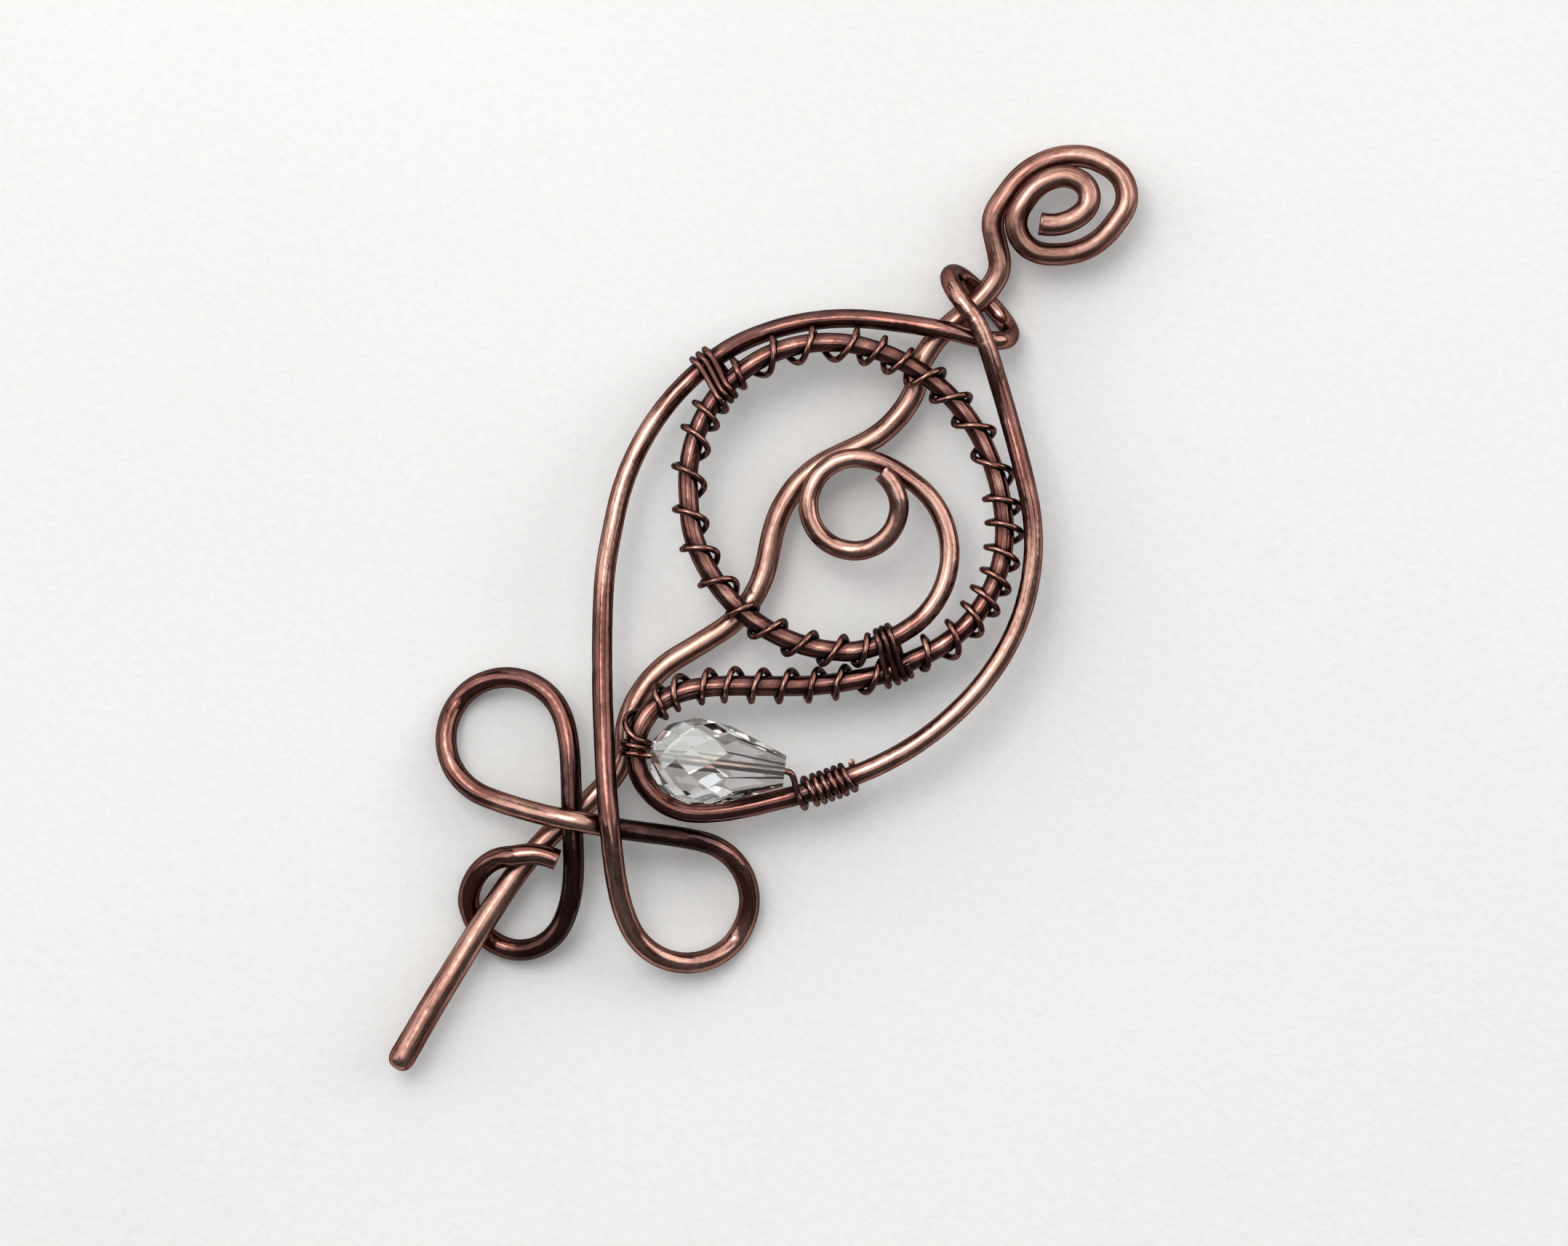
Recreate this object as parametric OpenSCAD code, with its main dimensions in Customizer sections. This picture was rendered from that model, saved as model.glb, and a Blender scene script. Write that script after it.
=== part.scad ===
// Hair barrette bent from heavy wire, with a loose hair stick woven through it and a faceted drop bead.
// Lengths are millimetres. The tables below are laid out about the middle of the ring, with X to the right,
// Y towards the stick's spiral head and Z up, and place() then stands the whole on its lowest points.

/* [Heavy wire] */
// Diameter of the wire that the frame is bent from
frame_wire_d = 1.95; // [1.85:0.05:2.00]
// Diameter of the hair stick along its shank
stick_d = 2.2; // [2.10:0.05:2.25]
// Diameter of the hair stick where it thickens at the tip
stick_tip_d = 2.6; // [2.25:0.05:2.70]
// Sides of a heavy wire's section
heavy_sides = 10; // [8:2:12]

/* [Thin wire] */
// Diameter of the thin winding wire
thin_d = 0.64; // [0.56:0.02:0.66]
// Sides of the thin wire's section
thin_sides = 5; // [5:1:6]
// Points in one turn of a winding
turn_steps = 8; // [8:1:10]

/* [Bead] */
// Length of the drop bead along its hole
bead_len = 12.9; // [12.5:0.1:13.1]
// Radius of the flat table round the hole at the wide end
bead_table_r = 1.6; // [1.4:0.1:1.8]
// Diameter of the hole through the bead
bead_hole_d = 1.1; // [0.9:0.1:1.2]
// Height of the bead's axis above the middle of the ring
bead_z = 2.1; // [2.1:0.05:2.3]

/* [Clearances] */
// Gap between the stick and the frame where they cross
slide_gap = 0.25; // [0.15:0.05:0.30]
// Gap between a winding and the wire that it is wound on
snug_gap = 0.05; // [0.04:0.01:0.08]
// Gap between two stretches of the frame wire where they cross
cross_gap = 0.16; // [0.12:0.02:0.20]

/* [Hidden] */
copper = [0.50, 0.29, 0.23];
dark_copper = [0.33, 0.19, 0.16];
crystal = [0.90, 0.91, 0.90, 0.6];
frame_r = frame_wire_d / 2;
stick_r = stick_d / 2;
thin_r = thin_d / 2;
// How far a chord may lie from the arc that it stands for
chord_error = 0.035;
// Largest turn between two stations of a blend
blend_turn = 12;
// Distance between the centre lines of two stretches of the frame wire that cross
crossing = frame_wire_d + cross_gap;
// Distance between the centre lines of the stick and the frame wire where they cross
weave = stick_r + frame_r + slide_gap;
// Heights of the centre lines: the stick clears the winding under the ring, and the rest follows from it
stick_z = -(frame_r + snug_gap + thin_d + slide_gap + stick_r);
under_z = stick_z - weave;
over_z = stick_z + weave;
second_z = over_z + crossing;
// The cross wire has sunk by this much where the last wire crosses it, and needs some more room there
// because it slopes
second_fall = 1.1;
slope_room = 0.25;
third_z = second_z - second_fall + crossing + slope_room;
// The outline dips beside the left of the ring, so that the winding passes over it
left_low = -1.9;
// The eye is an oval that stands almost upright across the stick, flatter below than above
eye_lean = 73;
eye_turn = -11.4;
eye_low_r = 2.9;
eye_high_r = 3.9;
eye_low_z = under_z + eye_low_r * sin(eye_lean);
eye_high_z = eye_low_z + 0.6;
// Middle of the part's outline, which place() puts over the origin
mid_x = 0.435;
mid_y = -14.05;
// The blends hang a little lower than the bends' own heights
sag = 0.05;
lift = frame_r - under_z + sag;

// Columns of a bend: centre x and y, radius at its start and end, direction from the centre at its start and
// end, height at its start and end, how far its plane leans, and the direction of the axis that it leans on.
// A bend of no radius is a mark on a nearly straight stretch: place, heading (twice), height (twice), climb.
X = 0;
Y = 1;
R0 = 2;
R1 = 3;
A0 = 4;
A1 = 5;
Z0 = 6;
Z1 = 7;
LEAN = 8;
AXIS = 9;

// The frame wire, from the cut end of its hook
SMALL_LOOP = [
    [-1.2, -50.2, 5.65, 5.90, 103, 142, over_z + 0.1, over_z],
    [-3.2, -50.6, 4.85, 4.75, 150, 214, -1.9, under_z + 0.5],
    [-3.2, -50.6, 4.5, 4.42, 232, 266, under_z, under_z],
    [-3.2, -50.6, 4.42, 4.85, 286, 374, under_z + 0.35, -3.0],
];
CLOVER = [
    [-3.6, -40.75, 0, 0, 128.5, 128.5, over_z, over_z, 4],
    [-13.4, -38.1, 5.85, 6.0, 52, 170, -1.3, under_z + 0.12],
    [-13.4, -38.1, 6.0, 6.0, 190, 286, under_z + 0.12, -2.1],
    [-3.6, -40.7, 0, 0, 26.5, 26.5, second_z, second_z, 4],
    [0.1, -38.95, 0, 0, 26.5, 26.5, second_z - second_fall, second_z - second_fall, -16],
    [10.1, -40.5, 5.95, 5.95, 112, 8, -1.3, under_z + 0.12],
    [10.1, -40.5, 6.05, 6.15, -12, -120, under_z + 0.12, -0.9],
    [0.0, -39.3, 0, 0, 132, 132, third_z, third_z, 6],
];
LEFT_SIDE = [
    [-6.75, -31.2, 0, 0, 128.5, 128.5, 1.0, 1.0, -5],
    [-14.1, -21.1, 0, 0, 123.5, 123.5, 0.2, 0.2, -1],
    [5.0, -3.3, 25.15, 24.7, 206, 162, 0, left_low + 0.65],
    [5.0, -3.3, 24.3, 23.35, 150, 127, left_low, left_low + 0.3],
    [-2.3, 18.9, 0, 0, 26, 26, over_z + 0.3, over_z + 0.3, 2],
    [2.1, 20.85, 0, 0, 30, 30, over_z - 0.1, over_z - 0.1, -10],
];
EYE = [
    [0.37, 22.72, eye_low_r, eye_low_r, 30, 90, eye_low_z, eye_low_z, eye_lean, eye_turn],
    [-2.18, 23.24, eye_low_r, eye_low_r, 90, 170, eye_low_z, eye_low_z, eye_lean, eye_turn],
    [-1.23, 22.87, eye_high_r, eye_high_r, 190, 262, eye_high_z, eye_high_z, eye_lean, eye_turn],
];
RIGHT_SIDE = [
    [4.4, 18.15, 0, 0, -36.8, -36.8, 1.1, 1.1, -14],
    [-0.2, -6.0, 21.65, 21.05, 50, 4, 1.35, 0.6],
    [-8.2, -6.2, 28.95, 28.4, -3, -31, 0.5, 0],
    [12.3, -26.3, 0, 0, -130, -130, 0, 0, 0],
    [2.0, -28.2, 6.1, 5.7, -54, -178, 0, 0],
    [2.0, -28.3, 5.7, 5.75, -188, -211, 0, 0],
];
TAIL = [
    [2.2, -20.4, 0, 0, 36, 36, 0, 0, 0],
    [8.0, -16.1, 0, 0, 41, 41, -0.3, -0.3, 0],
    [12.1, -11.95, 0, 0, 48, 48, -0.3, -0.3, 0],
];
RING = [
    [3.2, -0.8, 13.35, 12.9, -34, 38, -0.2, 0],
    [-0.8, -3.8, 17.85, 18.15, 57, 112, 0, 0],
    [-2.9, 0.8, 13.15, 13.8, 136, 222, 0, 0],
    [-1.0, 1.05, 15.65, 15.95, 234, 305, 0, 0.4],
];
SWIRL = [
    [3.7, -3.15, 8.85, 8.35, -24, 88, 0.3, 0],
    [0.6, -0.1, 4.75, 4.5, 116, 180, 0, 0],
    [0.6, -0.1, 4.45, 4.3, 190, 290, 0, 0],
    [0.6, -0.1, 4.35, 4.4, 312, 396, 0.25, 1.75],
    [0.6, -0.1, 4.35, 4.2, 408, 447, 1.95, 1.95],
];
FRAME = concat(SMALL_LOOP, CLOVER, LEFT_SIDE, EYE, RIGHT_SIDE, TAIL, RING, SWIRL);

// The hair stick, from the cut end at the middle of its spiral head
HEAD = [
    [-3.0, 36.4, 4.3, 4.88, 299, 357, stick_z + 3.0, stick_z + 2.9],
    [0.0, 36.4, 1.9, 1.95, 10, 110, stick_z + 2.8, stick_z + 2.65],
    [1.0, 34.3, 4.42, 4.45, 126, 184, stick_z + 2.6, stick_z + 2.4],
    [-0.5, 33.2, 2.95, 3.1, 198, 292, stick_z + 2.35, stick_z + 1.8],
    [-1.5, 36.8, 6.65, 6.45, 304, 362, stick_z + 1.7, stick_z + 1.2],
    [1.7, 37.9, 3.3, 3.35, 10, 102, stick_z + 1.1, stick_z + 0.9],
    [2.4, 34.0, 7.5, 7.6, 116, 184, stick_z + 0.8, stick_z + 0.6],
    [-1.9, 31.6, 3.2, 3.05, 196, 226, stick_z + 0.5, stick_z + 0.4],
    [-3.9, 25.6, 2.8, 2.72, 50, 8, stick_z + 0.2, stick_z],
];
SHANK = [
    [9.0, 17.0, 11.5, 11.5, 166, 196, stick_z, stick_z],
    [-12.0, 10.3, 11.0, 11.0, 14, -16, stick_z, stick_z],
    [5.4, -2.6, 10.5, 10.5, 156, 200, stick_z, stick_z],
    [-12.6, -13.8, 10.5, 10.5, 23, -22, stick_z, stick_z],
    [5.4, -26.2, 10.9, 10.9, 155, 204, stick_z, stick_z],
    [-10.4, -35.0, 7.5, 7.5, 22, -8, stick_z, stick_z],
    [-4.2, -41.8, 0, 0, -104, -104, stick_z, stick_z, 0],
    [-4.95, -48.5, 0, 0, -90, -90, stick_z, stick_z, 0],
    [-4.3, -60.0, 0, 0, -86, -86, stick_z, stick_z, 0],
];
TIP_END = [-3.3, -70.4, stick_z];
// Columns of the tip: distance back from its end, share of the tip's full radius
TIP_ROUNDING = [[0, 0.30], [0.12, 0.56], [0.35, 0.76], [0.75, 0.92], [1.3, 1.0]];
// Length over which the shank thickens to the tip
tip_swell = 24;

// Windings, as the distance along the frame wire from each top strand to the next one
LEFT_TURNS = [3.0, 3.3, 3.5, 3.4, 3.7, 3.6, 3.5, 4.0, 3.7, 2.4, 1.85];
PAIR_TURNS = [0.7, 0.7, 1.55];
RIGHT_TURNS = [4.0, 3.6, 4.1, 2.6, 2.6, 2.7, 3.2, 3.5, 4.3, 3.4, 2.4, 2.7, 2.5, 2.2, 2.1, 2.7, 3.2];
LOWER_TURNS = [0.74, 0.74, 0.74];
TAIL_TURNS = [3.9, 2.5, 2.8, 2.7, 2.7, 2.3, 2.9, 1.6, 4.2, 0.74, 0.72];
COIL_TURNS = [1.35, 0.75, 0.72, 0.78, 0.71, 0.72];
// Places in plan on the frame wire: the first top strand of each winding, and the neighbour wire facing it
RING_START = [9.5, -10.5];
PAIR_SIDE = [-19.45, 2.2];
LOWER_START = [13.95, -9.45];
LOWER_SIDE = [11.5, -7.85];
TAIL_START = [12.1, -12.2];
COIL_START = [12.7, -25.9];

// Where the bead's hole comes out at the wide end, and the direction of its axis
bead_foot = [-1.0, -31.1, bead_z];
bead_angle = 29.4;
// The wire runs straight for this far beyond each end of the hole
hole_margin = 0.2;
// Facets in each row round the bead
bead_facets = 10;
// Rows of corners, as distances from the table
BEAD_ROWS = [0, 0.8, 1.35, 2.4, 3.8, 5.75, 7.25, bead_len];
// Radius of the second row of corners
bead_shoulder_r = 2.72;

function unit(v) = v / norm(v);
function square_to(t, v) = unit(v - (v * t) * t);
function across(b, a) = [cos(a) * cos(b[AXIS]) - sin(a) * sin(b[AXIS]) * cos(b[LEAN]),
                         cos(a) * sin(b[AXIS]) + sin(a) * cos(b[AXIS]) * cos(b[LEAN]),
                         -sin(a) * sin(b[LEAN])];
function filled(b) = [for (k = [0:AXIS]) k < len(b) ? b[k] : 0];
function is_mark(b) = b[R0] == 0;

// Place and heading on a bend, where t runs from 0 at its start to 1 at its end
function bend_place(b, t) = is_mark(b) ? [b[X], b[Y], b[Z0]] :
    [b[X], b[Y], b[Z0] + (b[Z1] - b[Z0]) * t]
    + (b[R0] + (b[R1] - b[R0]) * t) * across(b, b[A0] + (b[A1] - b[A0]) * t);
function bend_heading(b, t) = is_mark(b) ?
    [cos(b[A0]) * cos(b[LEAN]), sin(b[A0]) * cos(b[LEAN]), sin(b[LEAN])] :
    let (a = b[A0] + (b[A1] - b[A0]) * t, sweep = (b[A1] - b[A0]) * PI / 180)
    unit([0, 0, b[Z1] - b[Z0]] + (b[R1] - b[R0]) * across(b, a) + b[R0] * sweep * across(b, a + 90));
function bend_steps(b) = is_mark(b) ? 0 : ceil(abs(b[A1] - b[A0]) / (2 * acos(1 - chord_error / b[R0])));
function bend_points(b) = let (n = bend_steps(b))
    is_mark(b) ? [bend_place(b, 0)] : [for (i = [0:n]) bend_place(b, i / n)];

// Blend between the end of one bend and the start of the next, without its two ends
function turn_between(u, v) = acos(max(-1, min(1, u * v)));
function blend_points(p, u, q, v) =
    let (d = norm(q - p), chord = (q - p) / d,
         n = ceil((turn_between(u, chord) + turn_between(chord, v)) / blend_turn))
    n < 2 ? [] : [for (i = [1:n - 1]) let (t = i / n)
        (1 - 3 * t * t + 2 * t * t * t) * p + (3 * t * t - 2 * t * t * t) * q
        + d * (t - 2 * t * t + t * t * t) * u + d * (t * t * t - t * t) * v];

// Centre line through a table of bends
function centre_line(table) = let (rows = [for (b = table) filled(b)])
    [for (k = [0:len(rows) - 1]) each concat(
        k == 0 ? [] : blend_points(bend_place(rows[k - 1], 1), bend_heading(rows[k - 1], 1),
                                   bend_place(rows[k], 0), bend_heading(rows[k], 0)),
        bend_points(rows[k]))];

// A line with the distance run along it in front of each point, for lookup()
function run_along(p) = let (d = [for (i = 0, s = 0; i < len(p);
        s = s + (i + 1 < len(p) ? norm(p[i + 1] - p[i]) : 0), i = i + 1) s])
    [for (axis = [0:2]) [for (i = [0:len(p) - 1]) [d[i], p[i][axis]]]];
function at(run, s) = [lookup(s, run[0]), lookup(s, run[1]), lookup(s, run[2])];
function along(run, s) = unit(at(run, s + 0.4) - at(run, s - 0.4));
// Distance along a line to its place nearest to a point in plan
function flat(run, i) = [run[0][i][1], run[1][i][1]];
function foot(run, i, p) = let (a = flat(run, i), d = flat(run, i + 1) - a)
    max(0, min(1, (p - a) * d / (d * d)));
function flat_gap(run, i, p) = let (a = flat(run, i)) norm(a + foot(run, i, p) * (flat(run, i + 1) - a) - p);
function reach(run, p) = let (gaps = [for (i = [0:len(run[0]) - 2]) flat_gap(run, i, p)], near = min(gaps))
    [for (i = [0:len(gaps) - 1]) if (gaps[i] == near)
        run[0][i][0] + foot(run, i, p) * (run[0][i + 1][0] - run[0][i][0])][0];

// Tube round a line: headings, normals carried along without twist, and rings of points
function headings(p) = [for (i = [0:len(p) - 1]) unit(p[min(i + 1, len(p) - 1)] - p[max(i - 1, 0)])];
function normals(t) = [for (i = 0, n = square_to(t[0], [0.02, 0.01, 1]); i < len(t);
        n = square_to(t[min(i + 1, len(t) - 1)], n), i = i + 1) n];
function tube_points(p, radii, sides) = let (t = headings(p), n = normals(t))
    [for (i = [0:len(p) - 1]) let (b = cross(t[i], n[i])) for (k = [0:sides - 1])
        p[i] + radii[i] * (cos(360 * k / sides) * n[i] + sin(360 * k / sides) * b)];
function tube_faces(rings, sides) = concat(
    [[for (k = [0:sides - 1]) k]],
    [for (i = [0:rings - 2], k = [0:sides - 1])
        let (a = i * sides + k, b = i * sides + (k + 1) % sides)
        each [[a, a + sides, b + sides], [a, b + sides, b]]],
    [[for (k = [sides - 1:-1:0]) (rings - 1) * sides + k]]);
module tube(p, radii, sides)
    polyhedron(tube_points(p, radii, sides), tube_faces(len(p), sides), convexity = 12);
module wire(p, r, sides) tube(p, [for (q = p) r], sides);

frame_line = centre_line(FRAME);
frame_run = run_along(frame_line);

// A winding runs from one top strand to the next. Its `way` is +1 or -1 along the frame wire, and `hand` is
// +1 if it is right-handed. Each of its points has a share of the turn, and 1 where it lies round the
// neighbour wire.
function total(list, n) = n <= 0 ? 0 : list[n - 1] + total(list, n - 1);
PLAIN_TURN = [for (k = [0:turn_steps - 1]) [k / turn_steps, 0]];
// A turn round two wires goes straight over from one to the other on top, and straight back below
EIGHTH = 1 / 8;
OUT_AND_BACK = concat([[0, 0]], [for (k = [0:4]) [k * EIGHTH, 1]], [for (k = [4:7]) [k * EIGHTH, 0]]);
BACK_AND_OUT = concat([for (k = [0:4]) [k * EIGHTH, 0]], [for (k = [4:8]) [k * EIGHTH, 1]]);
winding_r = (frame_r + snug_gap + thin_r) / cos(180 * EIGHTH);

// Point on a winding: distance along the frame wire, angle round it (90 on top) and the way to the neighbour
function wound(s, a, over = [0, 0, 0]) =
    let (t = along(frame_run, s), b = square_to(t, [0, 0, 1]), n = cross(b, t))
    at(frame_run, s) + over + winding_r * (cos(a) * n + sin(a) * b);
function turns(start, gaps, way, hand, shape = PLAIN_TURN, side = 0, side_way = 1) =
    [for (k = [0:len(gaps) - 1]) for (q = shape) let (s = start + way * (total(gaps, k) + gaps[k] * q[0]))
        wound(s, 90 + 360 * way * hand * q[0],
              q[1] * (at(frame_run, side + side_way * (s - start)) - at(frame_run, s)))];
// Part of a turn, between two shares of it, where the wire starts or ends
function part_turn(start, gap, way, hand, from, to) = let (n = ceil((to - from) * turn_steps))
    [for (i = [0:n]) let (q = from + (to - from) * i / n)
        wound(start + way * gap * q, 90 + 360 * way * hand * q)];
// Shares of a turn that a winding has before its first top strand: from its cut end, and up to the first turn
lead_from = -0.2;
lead_to = -0.1;
// Shares of a turn from the last top strand of each wire to its cut end
ring_wrap_tail = 0.35;
lower_tail = 0.4;
coil_tail = 0.75;

module place() translate([-mid_x, -mid_y, lift]) children();

module frame_wire() color(copper) place() wire(frame_line, frame_r, heavy_sides);

module hair_stick() {
    line = centre_line(concat(HEAD, SHANK));
    back = unit(line[len(line) - 1] - TIP_END);
    tip = [for (k = [len(TIP_ROUNDING) - 1:-1:0]) TIP_END + TIP_ROUNDING[k][0] * back];
    tip_radii = [for (k = [len(TIP_ROUNDING) - 1:-1:0]) TIP_ROUNDING[k][1] * stick_tip_d / 2];
    shank_radii = [for (p = line)
        stick_r + (stick_tip_d / 2 - stick_r) * max(0, 1 - norm(p - TIP_END) / tip_swell)];
    color(copper) place() tube(concat(line, tip), concat(shank_radii, tip_radii), heavy_sides);
}

// One wire: along the ring's lower left, round the ring and the outline together, and on over the top
module ring_wrap() {
    start = reach(frame_run, RING_START);
    pair = start - total(LEFT_TURNS, len(LEFT_TURNS));
    right = pair - total(PAIR_TURNS, len(PAIR_TURNS));
    last = right - total(RIGHT_TURNS, len(RIGHT_TURNS));
    line = concat(
        part_turn(start, LEFT_TURNS[0], -1, -1, lead_from, lead_to),
        turns(start, LEFT_TURNS, -1, -1),
        turns(pair, PAIR_TURNS, -1, -1, OUT_AND_BACK, reach(frame_run, PAIR_SIDE), -1),
        turns(right, RIGHT_TURNS, -1, -1),
        part_turn(last, RIGHT_TURNS[len(RIGHT_TURNS) - 1], -1, -1, 0, ring_wrap_tail));
    color(dark_copper) place() wire(line, thin_r, thin_sides);
}

module lower_binding() {
    start = reach(frame_run, LOWER_START);
    line = concat(
        turns(start, LOWER_TURNS, -1, -1, BACK_AND_OUT, reach(frame_run, LOWER_SIDE), 1),
        part_turn(start - total(LOWER_TURNS, len(LOWER_TURNS)), LOWER_TURNS[0], -1, -1, 0, lower_tail));
    color(dark_copper) place() wire(line, thin_r, thin_sides);
}

// One wire: down the tail, round the cradle, through the bead, and a close coil on the outline
module bead_wire() {
    start = reach(frame_run, TAIL_START);
    tail_end = start - total(TAIL_TURNS, len(TAIL_TURNS));
    tail = concat(part_turn(start, TAIL_TURNS[0], -1, -1, lead_from, lead_to),
                  turns(start, TAIL_TURNS, -1, -1), [wound(tail_end, 90)]);
    coil_start = reach(frame_run, COIL_START);
    coil_end = coil_start - total(COIL_TURNS, len(COIL_TURNS));
    coil = concat(turns(coil_start, COIL_TURNS, -1, 1),
                  part_turn(coil_end, COIL_TURNS[0], -1, 1, 0, coil_tail));
    axis = [cos(bead_angle), sin(bead_angle), 0];
    leave = unit(wound(tail_end - 0.01, 91) - wound(tail_end, 90));
    land = unit(coil[1] - coil[0]);
    into = bead_foot - hole_margin * axis;
    out = bead_foot + (bead_len + hole_margin) * axis;
    line = concat(
        tail,
        blend_points(tail[len(tail) - 1], leave, into, axis), [into, out],
        blend_points(out, axis, coil[0], land), coil);
    color(dark_copper) place() wire(line, thin_r, thin_sides);
}

// Drop bead: rows of corners, each row set half a facet round from the one before, so that the kite between
// three rows is flat. From row to row the radius follows from the two rows before it.
function bead_radius(k) = k == 0 ? bead_table_r : k == 1 ? bead_shoulder_r :
    let (c = cos(180 / bead_facets), a = bead_radius(k - 2), b = bead_radius(k - 1) * c,
         r = a + (b - a) * (BEAD_ROWS[k] - BEAD_ROWS[k - 2]) / (BEAD_ROWS[k - 1] - BEAD_ROWS[k - 2]))
    k == len(BEAD_ROWS) - 1 ? r / c : r;
module drop() {
    rows = len(BEAD_ROWS);
    n = bead_facets;
    // The last row stands straight on from the one before it, and the others are turned half a facet
    points = [for (k = [0:rows - 1]) let (step = min(k, rows - 2) / 2, r = bead_radius(k)) for (j = [0:n - 1])
        [r * cos((j + step) * 360 / n), r * sin((j + step) * 360 / n), BEAD_ROWS[k]]];
    faces = concat(
        [[for (j = [0:n - 1]) j]],
        [for (k = [0:rows - 2], j = [0:n - 1]) let (a = k * n + j, b = k * n + (j + 1) % n)
            each k < rows - 2 ? [[a, a + n, b], [b, a + n, b + n]] : [[a, a + n, b + n], [a, b + n, b]]],
        [[for (j = [n - 1:-1:0]) (rows - 1) * n + j]]);
    polyhedron(points, faces);
}

module crystal_bead() {
    color(crystal) place() translate(bead_foot) rotate([0, 0, bead_angle]) rotate([0, 90, 0]) difference() {
        drop();
        translate([0, 0, -hole_margin]) cylinder(d = bead_hole_d, h = bead_len + 2 * hole_margin, $fn = 24);
    }
}

frame_wire();
hair_stick();
ring_wrap();
lower_binding();
bead_wire();
crystal_bead();
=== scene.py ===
"""Looks of a hair barrette bent from heavy copper wire, with a loose hair stick and a faceted drop bead.

Lengths are millimetres, laid out about the middle of the ring as the part is built, with X to the right,
Y towards the stick's spiral head and Z up. A mesh is written in metres, in the part's own frame.
"""

import logging
import math
from dataclasses import dataclass, field, replace
from enum import Enum
from typing import Any, Sequence, Union

import bpy
import numpy as np
from mathutils import Matrix, Vector, kdtree


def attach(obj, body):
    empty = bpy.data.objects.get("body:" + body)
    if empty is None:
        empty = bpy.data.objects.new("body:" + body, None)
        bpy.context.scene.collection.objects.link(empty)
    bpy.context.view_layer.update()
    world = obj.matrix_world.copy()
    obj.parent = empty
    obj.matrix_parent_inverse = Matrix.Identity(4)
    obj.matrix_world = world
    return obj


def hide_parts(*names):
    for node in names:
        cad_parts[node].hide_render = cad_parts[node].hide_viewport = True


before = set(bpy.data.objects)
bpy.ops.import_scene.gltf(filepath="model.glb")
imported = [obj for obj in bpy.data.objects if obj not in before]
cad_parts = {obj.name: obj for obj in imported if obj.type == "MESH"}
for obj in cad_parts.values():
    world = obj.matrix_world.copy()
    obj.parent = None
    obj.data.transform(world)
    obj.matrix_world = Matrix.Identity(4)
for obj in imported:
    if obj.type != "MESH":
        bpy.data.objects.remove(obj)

Array = np.ndarray
Colour = tuple[float, float, float]
Table = Sequence[Sequence[float]]
Given = Union["Socket", float, Sequence[float]]

MM = 0.001
UP = np.array([0.0, 0.0, 1.0])
SEED = 11
# A line's heading is taken from this far back to this far ahead
HEADING_REACH = 0.4
# Ripples of a wire's surface: length along it, and waves round it
RIPPLES = ((7.3, 1), (3.1, 2), (1.7, 2), (0.9, 3))
# Least and most of a random dent's depth, as a share of the full one, half length, and half width in radians
DENT_DEPTHS = (0.3, 1.0)
DENT_LENGTHS = (0.25, 1.1)
DENT_WIDTHS = (0.2, 0.55)
# The normals of a wire's first ring point about this way, and no wire sets off along it
NEARLY_UP = np.array([0.02, 0.01, 1.0])
# The part of a noise's range that is spread over the range from 0 to 1
NOISE_RANGE = (0.3, 0.7)
log = logging.getLogger("barrette")


def unit(v: Array) -> Array:
    """The vectors in v, each of length 1."""
    return v / np.maximum(np.linalg.norm(v, axis=-1, keepdims=True), 1e-12)


def square_to(t: Array, v: Array) -> Array:
    """The part of v that is square to the unit vector t, of length 1."""
    return unit(v - np.sum(v * t, axis=-1, keepdims=True) * t)


def smooth_step(low: float, high: float, x: Array) -> Array:
    """A share that rises smoothly from 0 at low to 1 at high."""
    t = np.clip((x - low) / (high - low), 0, 1)
    return t * t * (3 - 2 * t)


@dataclass(frozen=True)
class Sizes:
    """Driving sizes of the whole part, the same as in its construction."""

    frame_wire_d: float = 1.95
    stick_d: float = 2.2
    stick_tip_d: float = 2.6
    thin_d: float = 0.64
    slide_gap: float = 0.25
    snug_gap: float = 0.05
    cross_gap: float = 0.16
    second_fall: float = 1.1
    slope_room: float = 0.25
    left_low: float = -1.9
    eye_low_r: float = 2.9
    eye_high_r: float = 3.9
    eye_lean: float = 73
    eye_turn: float = -11.4
    mid_x: float = 0.435
    mid_y: float = -14.05
    sag: float = 0.05

    @property
    def stick_z(self) -> float:
        """Height of the stick's centre line."""
        return -(self.frame_wire_d / 2 + self.snug_gap + self.thin_d + self.slide_gap + self.stick_d / 2)

    @property
    def weave(self) -> float:
        """Distance between the centre lines of the stick and the frame wire where they cross."""
        return self.stick_d / 2 + self.frame_wire_d / 2 + self.slide_gap

    @property
    def under_z(self) -> float:
        """Height of the frame wire where it passes under the stick."""
        return self.stick_z - self.weave

    @property
    def over_z(self) -> float:
        """Height of the frame wire where it passes over the stick."""
        return self.stick_z + self.weave

    @property
    def crossing(self) -> float:
        """Distance between the centre lines of two stretches of the frame wire that cross."""
        return self.frame_wire_d + self.cross_gap

    @property
    def second_z(self) -> float:
        """Height of a wire that passes over one that passes over the stick."""
        return self.over_z + self.crossing

    @property
    def third_z(self) -> float:
        """Height of the wire that passes over the sloping cross wire."""
        return self.second_z - self.second_fall + self.crossing + self.slope_room

    @property
    def shift(self) -> Array:
        """What moves the layout onto the part's origin, standing on its lowest points."""
        lift = self.frame_wire_d / 2 - self.under_z + self.sag
        return np.array([-self.mid_x, -self.mid_y, lift])


SIZES = Sizes()


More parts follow.
